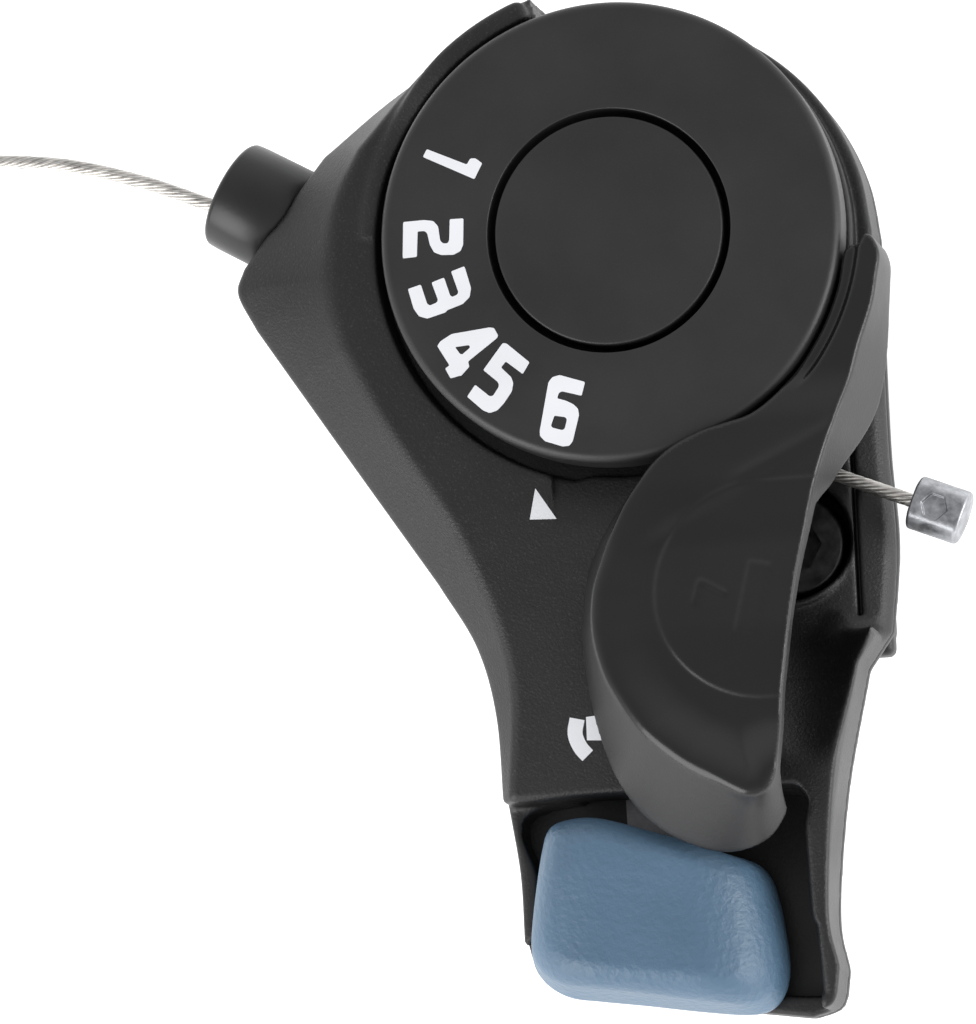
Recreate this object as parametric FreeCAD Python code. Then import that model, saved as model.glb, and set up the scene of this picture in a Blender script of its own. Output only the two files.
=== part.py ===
"""Six-speed thumb shifter for a 22.2 mm handlebar, written as one STEP file per piece.

Row frame, millimetres: origin at the centre of the clamp bore, +X along the handlebar towards the grip,
+Y forward, away from the rider, and +Z up, along the dial's axis.

The shapes are drawn about the dial's axis, where X and Y are 0, at their real heights. save() moves them
into the row frame.
"""

import FreeCAD, Part
import math
import os

from FreeCAD import Placement, Rotation, Vector

# ---------------------------------------------------------------- driving dimensions
BAR_R = 11.1                     # radius of the handlebar seat
CLAMP_AT = (11.8, -10.0)         # the clamp bore's centre, from the dial's axis
CLAMP_WIDTH = 10.0
CLAMP_WALL = 2.8
CLAMP_SLIT = 2.0
BOLT_AT = (11.8, -25.0)

BASE_BOTTOM = 11.8               # heights above the handlebar's centre line
BASE_TOP = 13.4
COVER_TOP = 23.4
SKIN = 1.7                       # wall thickness of the mouldings
EDGE_Z = 19.2                    # top of the cover's upright side, where its bevel begins
DECK_TOP = 16.0                  # lowered deck around the clamp bolt
RECESS_R = 5.2                   # recess that the clamp bolt's head stands in
SWEEP_TOP = 20.6                 # top of the cover where the lever passes over it

DIAL_R = 19.2
DIAL_BOTTOM = 23.0
DIAL_TOP = 27.0
DIAL_GAP = 0.5
CAP_R = 9.6
CAP_GROOVE = 0.6

TRAVEL = 100.4                   # lever travel, degrees
SHIFTS = (24.1, 35.1, 56.8, 75.2, 100.4)   # lever angle at each shift after the first gear position

PLATE_Z = (13.8, 15.2)           # ratchet plate
PAWL_Z = (13.9, 15.1)            # pawl and release arm
DRUM_Z = (15.4, 20.6)
GROOVE_Z = (17.0, 19.0)
HUB_Z = (20.8, 22.95)            # hub of the thumb lever
SKIRT_Z = 18.6                   # the cover outside the dial stays below this where the lever hangs over it

AXLE_R = 3.0
BUSH_R = 4.5
RUN = 0.03                       # radial running clearance
GROOVE_R = 9.2                   # cable groove: 3.2 mm of cable a shift
FLANGE_R = 12.4
RATCHET_ROOT_R = 11.6
RATCHET_TIP_R = 13.2
PAWL_TIP_ANGLE = 262.8
PAWL_GAP = 0.15                  # the pawl is drawn just clear of the teeth's tips

PAWL_PIN = (-12.2, -12.2)
PAWL_PIN_R = 1.25
RELEASE_PIN = (-1.5, -30.0)
RELEASE_PIN_R = 1.5

CABLE_ANGLE = -23.0              # the cable's direction, towards its head
CABLE_Z = 18.0
CABLE_R = 0.6
HEAD_OFFSET = -12.2              # the cable's distance from the dial's axis at its head
NIPPLE_R = 2.25
NIPPLE_U = (30.0, 34.5)          # where the nipple lies along the cable
SEAT_R = 2.4
STOP_R = 4.8
STOP_MOUTH = (-34.6, 8.2, 14.4)  # centre of the casing stop's mouth
STOP_ANGLE = -30.5               # the casing stop's direction, into the housing

SCREWS = ((-21.5, -4.5), (-8.3, -33.5), (6.5, -41.0))
SCREW_R = 1.1

PEG_ANGLES = (60.0, 180.0, 300.0)
PEG_R = 1.0
PEG_CIRCLE_R = 13.5

# ---------------------------------------------------------------- outlines
# The cover's side runs between a lower and an upper outline, station by station. Each stretch is a line
# when it has two stations and a smooth curve when it has more.
def on_dial(radius, degrees):
    """A point at this radius and angle about the dial's axis."""
    return (radius * math.cos(math.radians(degrees)), radius * math.sin(math.radians(degrees)))


def ring_stretch(low_radius, high_radius, start, end, steps=4):
    """Stations round the dial's axis. The lower outline's radius runs evenly down to the upper one's."""
    stations = []
    for k in range(steps + 1):
        degrees = start + (end - start) * k / steps
        low = low_radius + (high_radius - low_radius) * k / steps
        stations.append((on_dial(low, degrees), on_dial(high_radius, degrees)))
    return stations


RIM_R = 21.8
SIDE_R = 20.5                    # the right side's foot, where it stands out beyond the dial
TAB_ANGLE = 107.0
BODY = [
    [((19.9, -33.0), (19.2, -33.0)), ((20.7, -25.5), (19.2, -25.5)), ((20.4, -17.0), (19.2, -17.0)),
     ((SIDE_R, 0.0), (19.2, 0.0))],
    ring_stretch(SIDE_R, DIAL_R, 0.0, 104.0),
    [(on_dial(DIAL_R, 104.0),) * 2, (on_dial(RIM_R, TAB_ANGLE),) * 2],
    [(on_dial(RIM_R, TAB_ANGLE),) * 2, ((-18.0, 14.9), (-14.6, 16.2)), ((-25.4, 9.7), (-21.4, 9.2))],
    [((-25.4, 9.7), (-21.4, 9.2)), ((-29.1, 5.3), (-23.7, 4.6)), ((-32.8, 0.7), (-24.6, -0.7))],
    [((-32.8, 0.7), (-24.6, -0.7)), ((-33.4, -1.4), (-24.3, -4.2)), ((-31.9, -4.6), (-23.4, -7.5))],
    [((-31.9, -4.6), (-23.4, -7.5)), ((-24.5, -16.0), (-20.0, -14.2)), ((-17.2, -27.2), (-14.3, -23.3))],
    [((-17.2, -27.2), (-14.3, -23.3)), ((-14.2, -32.6), (-11.0, -30.0)), ((-12.8, -38.5), (-9.0, -37.0)),
     ((-12.5, -46.0), (-9.6, -46.0))],
    [((-12.5, -46.0), (-9.6, -46.0)), ((-11.8, -51.5), (-10.4, -51.5)), ((-11.7, -57.0), (-10.6, -57.0))],
    [((-11.7, -57.0), (-10.6, -57.0)), ((-10.9, -59.8), (-10.1, -59.2)), ((-8.6, -61.5), (-8.2, -60.5))],
    [((-8.6, -61.5), (-8.2, -60.5)), ((11.8, -64.5), (11.6, -63.6))],
    [((11.8, -64.5), (11.6, -63.6)), ((14.1, -63.6), (13.5, -63.0)), ((14.8, -60.8), (14.2, -60.6))],
    [((14.8, -60.8), (14.2, -60.6)), ((14.2, -56.0), (13.7, -56.0)), ((15.4, -46.0), (14.9, -46.0)),
     ((17.7, -36.0), (17.3, -36.0))],
    [((17.7, -36.0), (17.3, -36.0)), ((19.9, -33.0), (19.2, -33.0))],
]

POCKET_Y = -46.0                 # the cover's top ends here, at the release button's pocket

# Lever paddle: the rim of its raised top, and the foot of its drafted skirt.
PADDLE_RIM = [
    [(14.6, -12.8), (8.6, -17.4), (3.9, -20.0), (0.1, -24.6), (-2.2, -31.8), (-0.9, -39.6), (3.7, -46.0),
     (8.6, -48.5)],
    [(8.6, -48.5), (11.6, -47.8), (12.4, -45.2)],
    [(12.4, -45.2), (12.6, -38.2), (14.7, -28.0), (18.4, -17.2)],
    [(18.4, -17.2), (14.6, -12.8)],
]
PADDLE_FOOT = [
    [(14.6, -13.0), (8.2, -17.9), (2.6, -20.6), (-2.2, -26.2), (-4.8, -33.0), (-3.4, -41.4), (2.4, -49.4),
     (8.4, -51.6)],
    [(8.4, -51.6), (12.2, -49.6), (12.8, -45.2)],
    [(12.8, -45.2), (13.0, -38.2), (15.1, -28.0), (18.8, -17.2)],
    [(18.8, -17.2), (14.6, -13.0)],
]
PADDLE_FOOT_Z = 24.0
PADDLE_RIM_Z = 31.0
PADDLE_SLOPE = ((-16.0, 26.6), (-46.0, 30.4))   # (Y, height) of the paddle's top at both ends

# Outer edge of the lever beside the dial, from its tip to the paddle's root.
FLANGE_EDGE = [(21.95, -2.9), (21.6, -8.2), (20.0, -13.6), (17.2, -20.6), (15.8, -24.6)]
FLANGE_START = -4.0
FLANGE_END = -72.0

BUTTON = [(-8.4, -47.3), (-10.4, -60.9), (10.2, -63.8), (9.3, -51.9)]
BUTTON_Z = (15.4, 23.2)
BUTTON_ROUND = 2.4


# ---------------------------------------------------------------- helpers
def cylinder(radius, z, at=(0.0, 0.0)):
    """An upright cylinder between two heights."""
    return Part.makeCylinder(radius, z[1] - z[0], Vector(at[0], at[1], z[0]))


def tube(outer, inner, z, at=(0.0, 0.0)):
    return cylinder(outer, z, at).cut(cylinder(inner, (z[0] - 1, z[1] + 1), at))


def box(x, y, z):
    return Part.makeBox(x[1] - x[0], y[1] - y[0], z[1] - z[0], Vector(x[0], y[0], z[0]))


def prism(points, z):
    """A polygon in plan, pulled up between two heights."""
    corners = [Vector(x, y, z[0]) for x, y in points]
    face = Part.Face(Part.makePolygon(corners + corners[:1]))
    return face.extrude(Vector(0, 0, z[1] - z[0]))


def sector(radius, start, end, z):
    """A wedge of a cylinder from one angle, counter-clockwise, to another."""
    wedge = Part.makeCylinder(radius, z[1] - z[0], Vector(0, 0, z[0]), Vector(0, 0, 1), end - start)
    wedge.rotate(Vector(0, 0, 0), Vector(0, 0, 1), start)
    return wedge


def rib(a, b, width, z):
    """A flat bar with round ends between two points in plan."""
    length = math.hypot(b[0] - a[0], b[1] - a[1])
    bar = Part.makeBox(length, width, z[1] - z[0], Vector(0, -width / 2, z[0]))
    bar.rotate(Vector(0, 0, 0), Vector(0, 0, 1), math.degrees(math.atan2(b[1] - a[1], b[0] - a[0])))
    bar.translate(Vector(a[0], a[1], 0))
    return bar.fuse([cylinder(width / 2, z, a), cylinder(width / 2, z, b)])


def curve(points, z):
    """A line through two points, or a smooth curve through more."""
    corners = [Vector(x, y, z) for x, y in points]
    if len(corners) == 2:
        return Part.LineSegment(*corners).toShape()
    spline = Part.BSplineCurve()
    spline.interpolate(corners)
    return spline.toShape()


def wire(stretches, z):
    return Part.Wire([curve(points, z) for points in stretches])


def loft(low, low_z, high, high_z):
    return Part.makeLoft([wire(low, low_z), wire(high, high_z)], True, True)


def upright(stretches, z):
    """The outline pulled straight up between two heights."""
    return Part.Face(wire(stretches, z[0])).extrude(Vector(0, 0, z[1] - z[0]))


def moulding(low, high, drop=0.0):
    """The cover's outside: upright sides, then a bevel to the top. It can be dropped for its inside."""
    edge = EDGE_Z - drop
    return upright(low, (BASE_TOP, edge)).fuse(loft(low, edge, high, COVER_TOP - drop))


def grow(stretches, distance):
    """The outline moved outwards; a negative distance moves it inwards."""
    flat = [p for points in stretches for p in points[:-1]]
    moved = {}
    for k, here in enumerate(flat):
        before, after = flat[k - 1], flat[(k + 1) % len(flat)]
        dx, dy = after[0] - before[0], after[1] - before[1]
        length = math.hypot(dx, dy)
        moved[here] = (here[0] + dy / length * distance, here[1] - dx / length * distance)
    return [[moved[p] for p in points] for points in stretches]


def outline(which):
    """The body's lower (0) or upper (1) outline."""
    return [[station[which] for station in stretch] for stretch in BODY]


def incline(near, far, x, top):
    """Everything above a plane that runs from one (Y, height) to another, as a solid to cut away."""
    corners = [Vector(x[0], y, z) for y, z in (near, far, (far[0], top), (near[0], top))]
    return Part.Face(Part.makePolygon(corners + corners[:1])).extrude(Vector(x[1] - x[0], 0, 0))


def along_cable(u, v=0.0, z=CABLE_Z):
    """A point u along the cable's direction and v to its left, from the dial's axis."""
    a = math.radians(CABLE_ANGLE)
    return Vector(u * math.cos(a) - v * math.sin(a), u * math.sin(a) + v * math.cos(a), z)


def stop_cylinder(radius, near, far):
    """A cylinder on the casing stop's axis, between two distances from its mouth."""
    a = math.radians(STOP_ANGLE)
    inwards = Vector(math.cos(a), math.sin(a), 0)
    return Part.makeCylinder(radius, far - near, Vector(*STOP_MOUTH) + inwards * near, inwards)


def cable_cylinder(radius, u, v):
    """A cylinder along the cable's direction."""
    start = along_cable(u[0], v)
    return Part.makeCylinder(radius, u[1] - u[0], start, along_cable(u[1], v) - start)


def double_d(radius, flat, z):
    """A round boss with two flats, which keys one piece to the next."""
    return cylinder(radius, z).common(box((-radius, radius), (-flat, flat), z))


def soften(shape, radius, wanted):
    """Rounds the edges that wanted picks."""
    edges = [e for e in shape.Edges if wanted(e)]
    return shape.makeFillet(radius, edges) if edges else shape


def at_height(z):
    """Picks the edges that lie flat at a height."""
    return lambda e: abs(e.BoundBox.ZMin - z) < 1e-3 and abs(e.BoundBox.ZMax - z) < 1e-3


# ---------------------------------------------------------------- fixed pieces
def clamp_bracket():
    """Base plate, C-shaped handlebar clamp and the ears that the clamp bolt draws together."""
    cx, cy = CLAMP_AT
    half = CLAMP_WIDTH / 2
    outer_r = BAR_R + CLAMP_WALL
    plate = upright(outline(0), (BASE_BOTTOM, BASE_TOP))
    ring = Part.makeCylinder(outer_r, CLAMP_WIDTH, Vector(cx - half, cy, 0), Vector(1, 0, 0))
    ring = ring.common(box((cx - half, cx + half), (cy - 20, cy + 20), (-20, BASE_TOP)))
    ears = box((cx - half, cx + half), (-30.0, -20.0), (-9.0, BASE_TOP))
    nose = Part.makeCylinder(5.0, 2 * half, Vector(cx - half, -25.0, -4.0), Vector(1, 0, 0))
    ears = ears.common(nose.fuse(box((cx - half, cx + half), (-30.0, -20.0), (-4.0, BASE_TOP))))
    shoulder = box((cx - half - 1.4, 19.3), (-33.2, -16.0), (6.0, BASE_TOP))
    lip = box((16.4, 19.3), (-34.4, -33.2), (7.0, 9.6))
    gusset = box((cx - half, cx + half), (-16.0, 3.0), (9.5, BASE_TOP))
    shape = plate.fuse([ring, ears, shoulder, lip, gusset])
    shape = shape.cut(Part.makeCylinder(BAR_R, 2 * half, Vector(cx - half, cy, 0), Vector(1, 0, 0)))
    for x0, x1 in ((-60.0, cx - half), (cx + half, 60.0)):
        shape = shape.cut(Part.makeCylinder(BAR_R + 0.4, x1 - x0, Vector(x0, cy, 0), Vector(1, 0, 0)))
    slit = CLAMP_SLIT / 2
    shape = shape.cut(box((0.0, 25.0), (-40.0, cy), (-slit, slit)))
    shape = shape.cut(cylinder(2.7, (-12, 20), BOLT_AT))
    shape = shape.cut(cylinder(RECESS_R, (7.0, 30), BOLT_AT))
    shape = shape.cut(hexagon(8.1, (-12.0, -5.0), BOLT_AT))
    for at in SCREWS:
        shape = shape.cut(cylinder(SCREW_R + 0.15, (5, 20), at))
    for at, r in (((0.0, 0.0), AXLE_R), (PAWL_PIN, PAWL_PIN_R), (RELEASE_PIN, RELEASE_PIN_R)):
        shape = shape.cut(cylinder(r, (5, 20), at))
    post = cylinder(1.2, (BASE_TOP - 0.2, PLATE_Z[1]), on_dial(9.3, 180.0))
    return cable_stop_bore(shape).fuse(post).removeSplitter()


def hexagon(across, z, at):
    r = across / 2 / math.cos(math.radians(30))
    points = [(at[0] + r * math.cos(math.radians(60 * k)), at[1] + r * math.sin(math.radians(60 * k)))
              for k in range(6)]
    return prism(points, z)


def cable_stop_bore(shape):
    """Cuts the seat that the casing stop is pressed into."""
    shape = shape.cut(stop_cylinder(STOP_R, -5.0, 9.0))
    return shape.cut(stop_cylinder(3.4, 8.0, 16.0))


def housing_cover():
    """Top moulding: the pod round the dial, the leg towards the rider and the release button's pocket."""
    low, high = outline(0), outline(1)
    shape = moulding(low, high)
    rim = tube(RIM_R - 0.2, DIAL_R + DIAL_GAP, (COVER_TOP - 1, COVER_TOP + 1.4))
    shape = shape.fuse(rim.common(sector(30, TAB_ANGLE, 152, (COVER_TOP - 1, COVER_TOP + 1.4))))

    cavity = moulding(grow(low, -SKIN), grow(high, -SKIN), 1.0).common(
        box((-60, 60), (POCKET_Y + SKIN, 40), (BASE_TOP, COVER_TOP - SKIN)))
    cavity = cavity.cut(incline((-20.0, 21.7), (POCKET_Y, 18.9), (-60, 60), 40))
    cavity = cavity.cut(box((4.4, 30), (-37.0, -12.0), (0, 30)).cut(cylinder(DIAL_R - SKIN, (0, 30))))
    cavity = cavity.cut(box((6.4, 30), (-50.0, -37.0), (0, 30)))
    shape = shape.cut(cavity)

    shape = shape.cut(cylinder(DIAL_R + DIAL_GAP, (SWEEP_TOP, 30)))
    shape = shape.cut(cylinder(DIAL_R - SKIN, (BASE_TOP, 30)))
    shape = shape.cut(sector(24.2, 253, 360 + TAB_ANGLE, (SWEEP_TOP, 30)))
    shape = shape.cut(sector(30, -60, TAB_ANGLE, (SKIRT_Z, 30)).cut(cylinder(DIAL_R, (0, 30))))
    shape = shape.cut(box((6.0, 30), (-31.4, -10.0), (DECK_TOP, 30)).cut(cylinder(DIAL_R, (0, 30))))
    shape = shape.cut(incline((-22.0, COVER_TOP), (POCKET_Y, 20.6), (-60, 60), 40))
    shape = shape.cut(above_side_slope())
    scoop = Part.makeCylinder(6.5, 30, Vector(11.9, -24.0, 19.2), Vector(0.09, -1, 0.44))
    shape = shape.cut(scoop.common(box((6, 30), (-60, -31.3), (DECK_TOP, 40))))
    shape = pocket(shape)

    shape = cable_stop_bore(shape)
    shape = shape.cut(cable_cylinder(2.7, (6.0, 30.0), HEAD_OFFSET))
    shape = shape.cut(cylinder(RECESS_R, (5, 30), BOLT_AT))
    body = moulding(low, high)
    for at, top in zip(SCREWS, (22.2, 20.8, 19.6)):
        shape = shape.fuse(cylinder(2.1, (BASE_TOP, top), at).common(body))
        shape = shape.cut(cylinder(SCREW_R - 0.2, (BASE_TOP - 1, 18.8), at))
    return shape


def above_side_slope():
    """Everything above the slope beside the clamp bolt, from the deck down to the side's foot."""
    profile = ((17.4, DECK_TOP), (22.0, BASE_TOP + 0.4), (22.0, 30.0), (17.4, 30.0))
    corners = [Vector(x, -33.0, z) for x, z in profile]
    slab = Part.Face(Part.makePolygon(corners + corners[:1])).extrude(Vector(0, 23.0, 0))
    return slab.cut(cylinder(DIAL_R, (0, 40)))


def pocket(shape):
    """Opens the leg's end for the release button: high wall on the right, low walls left and front."""
    shape = shape.cut(box((-30, 12.0), (-80, POCKET_Y), (17.0, 40)))
    right_wall = [(12.6, POCKET_Y), (12.5, -56.0), (13.2, -62.6), (-20, -62.6), (-20, POCKET_Y)]
    shape = shape.cut(prism(right_wall, (17.0, 40)))
    floor = [(12.6, POCKET_Y), (12.5, -56.0), (13.2, -61.6), (12.0, -62.8), (-7.6, -60.0), (-10.0, -57.0),
             (-10.6, POCKET_Y)]
    shape = shape.cut(prism(floor, (BASE_TOP, 40)))
    shape = shape.cut(box((-11.4, 13.2), (-80, -57.0), (15.0, 40)))
    shape = shape.cut(incline((POCKET_Y, 20.6), (-66.0, 18.2), (0, 60), 40))
    return shape.cut(box((-6.5, 6.5), (POCKET_Y - 1, POCKET_Y + 3), (BASE_TOP, 16.4)))


def cable_casing_stop():
    """Black barrel on the housing's corner that the outer casing butts into."""
    barrel = stop_cylinder(STOP_R - 0.02, 0.0, 8.98)
    barrel = soften(barrel, 0.5, lambda e: (e.CenterOfMass - Vector(*STOP_MOUTH)).Length < 0.1)
    shape = barrel.fuse(stop_cylinder(3.35, 8.9, 13.5))
    shape = shape.cut(stop_cylinder(2.6, -1.0, 6.0))
    return shape.cut(stop_cylinder(1.0, 0.0, 19.0)).removeSplitter()


def clamp_bolt():
    """M5 cap bolt with a 4 mm hexagon socket."""
    head = soften(cylinder(4.25, (7.05, 12.0), BOLT_AT), 0.4, at_height(12.0))
    shape = head.fuse(cylinder(2.5, (-9.4, 7.05), BOLT_AT))
    return shape.cut(hexagon(4.0, (9.4, 13.0), BOLT_AT))


def clamp_nut():
    """M5 nut, held in the lower ear."""
    nut = hexagon(8.0, (-9.0, -5.05), BOLT_AT)
    return nut.cut(cylinder(2.52, (-12, 0), BOLT_AT))


def housing_screws():
    """Three self-tapping screws that hold the cover to the bracket from below."""
    screws = []
    for at in SCREWS:
        head = soften(cylinder(2.1, (BASE_BOTTOM - 1.4, BASE_BOTTOM - 0.02), at), 0.4,
                      at_height(BASE_BOTTOM - 1.4))
        screw = head.fuse(cylinder(SCREW_R - 0.22, (BASE_BOTTOM - 0.1, 18.6), at))
        for turn in (0, 90):
            slot = box((-1.2, 1.2), (-0.25, 0.25), (BASE_BOTTOM - 1.5, BASE_BOTTOM - 0.7))
            slot.rotate(Vector(0, 0, 0), Vector(0, 0, 1), turn)
            slot.translate(Vector(at[0], at[1], 0))
            screw = screw.cut(slot)
        screws.append(screw)
    return Part.makeCompound(screws)


def pivot_axle():
    """Steel stud riveted into the base plate; everything that turns with the dial runs on it."""
    shape = cylinder(AXLE_R, (BASE_BOTTOM, 23.0)).fuse([
        cylinder(4.4, (BASE_TOP, PLATE_Z[0] - 0.05)), cylinder(4.2, (BASE_BOTTOM - 0.8, BASE_BOTTOM))])
    return shape.cut(cylinder(1.7, (17.0, 24.0))).removeSplitter()


def pivot_screw():
    """Cross-head screw in the top of the axle, under the centre cap."""
    head = soften(cylinder(3.6, (23.65, 25.3)), 0.7, at_height(25.3))
    shape = head.fuse(cylinder(1.68, (17.6, 23.65)))
    for turn in (0, 90):
        slot = box((-1.9, 1.9), (-0.4, 0.4), (24.4, 26.0))
        slot.rotate(Vector(0, 0, 0), Vector(0, 0, 1), turn)
        shape = shape.cut(slot)
    return shape


def pivot_washer():
    return tube(6.2, 1.9, (23.0, 23.6))


def pawl_pin():
    """Riveted steel pin with a groove for its clip."""
    pin = cylinder(PAWL_PIN_R, (BASE_BOTTOM, 18.6), PAWL_PIN)
    return pin.cut(tube(3, PAWL_PIN_R - 0.3, (17.6, 18.1), PAWL_PIN))


def release_pin():
    pin = cylinder(RELEASE_PIN_R, (BASE_BOTTOM, 19.2), RELEASE_PIN)
    return pin.cut(tube(3, RELEASE_PIN_R - 0.3, (18.2, 18.7), RELEASE_PIN))


def retaining_clips():
    """Two E-clips, one on each pin."""
    clips = []
    for at, r, z in ((PAWL_PIN, PAWL_PIN_R, (17.62, 18.08)), (RELEASE_PIN, RELEASE_PIN_R, (18.22, 18.68))):
        clip = tube(r + 1.3, r - 0.28, z, at)
        gap = r * 0.75
        clips.append(clip.cut(box((at[0] - gap, at[0] + gap), (at[1] - 5, at[1]), (z[0] - 1, z[1] + 1))))
    return Part.makeCompound(clips)


def torsion_spring(at, coil_r, wire_r, z, legs):
    """A coil round a pin, with a straight leg at each end."""
    turns = 3
    helix = Part.makeHelix((z[1] - z[0]) / turns, z[1] - z[0], coil_r)
    profile = Part.Wire(Part.makeCircle(wire_r, Vector(coil_r, 0, 0), Vector(0, 1, 0)))
    coil = Part.Wire(helix).makePipeShell([profile], True, True)
    pieces = [coil]
    for height, angle, length in ((0, legs[0], 7.0), (z[1] - z[0], legs[1], 6.0)):
        a = math.radians(angle)
        start = Vector(coil_r, 0, height)
        leg = Part.makeCylinder(wire_r, length, start, Vector(math.cos(a), math.sin(a), 0))
        pieces.extend([leg, Part.makeSphere(wire_r, start)])
    shape = pieces[0].fuse(pieces[1:])
    shape.translate(Vector(at[0], at[1], z[0]))
    return shape


def pawl_spring():
    return torsion_spring(PAWL_PIN, 1.95, 0.25, (15.5, 17.2), (-60, 95))


def release_spring():
    return torsion_spring(RELEASE_PIN, 2.4, 0.3, (15.6, 17.8), (-80, 75))


# ---------------------------------------------------------------- pieces that turn with the lever
def drum_bush():
    return tube(BUSH_R, AXLE_R + RUN, (PLATE_Z[0], HUB_Z[1]))


def cable_drum():
    """Winding drum with its cable groove and the seat for the cable's head."""
    flange = cylinder(FLANGE_R, DRUM_Z)
    seat = box((3.5, 9.5), (-14.9, -9.0), DRUM_Z)
    seat.rotate(Vector(0, 0, 0), Vector(0, 0, 1), CABLE_ANGLE)
    shape = flange.fuse(seat.common(cylinder(17.1, DRUM_Z)))
    shape = shape.cut(tube(20, GROOVE_R, GROOVE_Z).cut(seat))
    shape = shape.cut(cable_cylinder(SEAT_R, (5.0, 20.0), HEAD_OFFSET))
    shape = shape.cut(cable_cylinder(0.9, (-4.0, 6.0), HEAD_OFFSET))
    lower_key = double_d(7.0, 5.6, (PLATE_Z[0], DRUM_Z[0]))
    upper_key = double_d(6.5, 5.2, (DRUM_Z[1], HUB_Z[1]))
    shape = shape.fuse([lower_key, upper_key])
    return shape.cut(cylinder(BUSH_R, (0, 40))).removeSplitter()


def ratchet_plate():
    """Steel index plate: one tooth for each shift, and the slot whose ends stop the lever's travel."""
    shape = cylinder(RATCHET_ROOT_R, PLATE_Z)
    for shift in SHIFTS:
        foot = PAWL_TIP_ANGLE - shift
        tooth = [on_dial(RATCHET_ROOT_R - 1, foot - 0.5), on_dial(RATCHET_TIP_R, foot),
                 on_dial(RATCHET_TIP_R, foot + 2), on_dial(RATCHET_ROOT_R - 0.3, foot + 9.5),
                 on_dial(RATCHET_ROOT_R - 2, foot + 5)]
        shape = shape.fuse(prism(tooth, PLATE_Z))
    shape = shape.cut(double_d(7.03, 5.63, (0, 40)))
    slot_r, half = 9.3, 1.3
    start, end = 180.0 - TRAVEL - 0.4, 180.0 + 0.4
    slot = sector(slot_r + half, start, end, (0, 40)).cut(cylinder(slot_r - half, (0, 40)))
    for angle in (start, end):
        slot = slot.fuse(cylinder(half, (0, 40), on_dial(slot_r, angle)))
    return shape.cut(slot).removeSplitter()


def lever_hub():
    """The plate under the dial and the bridge that carries the paddle."""
    hub = cylinder(17.3, HUB_Z)
    bridge = sector(DIAL_R + 1.4, FLANGE_END, FLANGE_START, HUB_Z)
    shape = hub.fuse(bridge).cut(double_d(6.53, 5.23, (0, 40)))
    for angle in PEG_ANGLES:
        shape = shape.cut(cylinder(PEG_R + 0.02, (0, 40), on_dial(PEG_CIRCLE_R, angle)))
    return shape


def lever_flange():
    """The wall that hugs the dial's rim and carries the load into the paddle."""
    inner = [on_dial(DIAL_R + 0.3, FLANGE_START - k * 8.5) for k in range(7)]
    edge = curve(FLANGE_EDGE, 19.0)
    foot = Part.LineSegment(Vector(*FLANGE_EDGE[-1], 19.0), Vector(*inner[-1], 19.0)).toShape()
    arc = curve(list(reversed(inner)), 19.0)
    tip = Part.LineSegment(Vector(*inner[0], 19.0), Vector(*FLANGE_EDGE[0], 19.0)).toShape()
    solid = Part.Face(Part.Wire([edge, foot, arc, tip])).extrude(Vector(0, 0, 7.4))
    under = sector(DIAL_R + 1.0, -85, 10, (10, HUB_Z[0]))
    return solid.cut(under)


def thumb_lever():
    """Hub, flange and the hollow paddle that the thumb pushes."""
    paddle = loft(PADDLE_FOOT, PADDLE_FOOT_Z, PADDLE_RIM, PADDLE_RIM_Z)
    inner = loft(grow(PADDLE_FOOT, -SKIN), PADDLE_FOOT_Z - 1, grow(PADDLE_RIM, -SKIN), PADDLE_RIM_Z)
    (near_y, near_z), (far_y, far_z) = PADDLE_SLOPE
    inner = inner.cut(incline((near_y, near_z - 1.9), (far_y - 8, far_z - 0.9), (-60, 60), 50))
    inner = inner.common(box((-60, 60), (-60, -23.5), (0, 60)))
    side_mouth = box((8.0, 30.0), (-43.0, -25.5), (20.0, 26.6))
    paddle = paddle.cut(inner).cut(side_mouth)
    paddle = paddle.cut(incline((0.0, near_z - 2.0), (-60.0, far_z + 1.8), (-60, 60), 60))
    dish = Part.makeSphere(46.0, Vector(8.6, -32.5, 73.6))
    paddle = paddle.cut(dish)
    shape = paddle.fuse([lever_hub(), lever_flange()])
    root = sector(23.6, FLANGE_END, -40, (HUB_Z[0], 26.0)).cut(cylinder(DIAL_R + 0.3, (0, HUB_Z[1])))
    shape = shape.fuse(root.common(cylinder(23.6, (0, 40))))
    shape = shape.cut(cylinder(DIAL_R + 0.15, (HUB_Z[1], 50)))
    shape = shape.cut(cable_cylinder(2.6, (0.0, 30.0), HEAD_OFFSET))
    return shape.removeSplitter()


def dial_disc():
    """Numbered dial, pegged to the lever's hub."""
    shape = cylinder(DIAL_R, (DIAL_BOTTOM, DIAL_TOP))
    shape = soften(shape, 1.8, at_height(DIAL_TOP))
    shape = soften(shape, 0.6, at_height(DIAL_BOTTOM))
    shape = shape.cut(tube(17.4, 11.2, (DIAL_BOTTOM - 1, DIAL_TOP - 1.6)))
    shape = shape.cut(cylinder(CAP_R - 0.6, (0, 40)))
    shape = shape.cut(cylinder(CAP_R + CAP_GROOVE, (DIAL_TOP - 0.9, 40)))
    for angle in PEG_ANGLES:
        shape = shape.fuse(cylinder(PEG_R, (HUB_Z[0] + 0.2, DIAL_TOP - 1.4), on_dial(PEG_CIRCLE_R, angle)))
    return shape.removeSplitter()


def centre_cap():
    """Round cap that hides the pivot screw; its skirt snaps into the dial."""
    top = soften(cylinder(CAP_R, (DIAL_TOP - 0.9, DIAL_TOP)), 0.35, at_height(DIAL_TOP))
    skirt = tube(CAP_R - 0.62, CAP_R - 1.7, (23.9, DIAL_TOP - 0.9))
    return top.fuse(skirt).removeSplitter()


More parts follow.
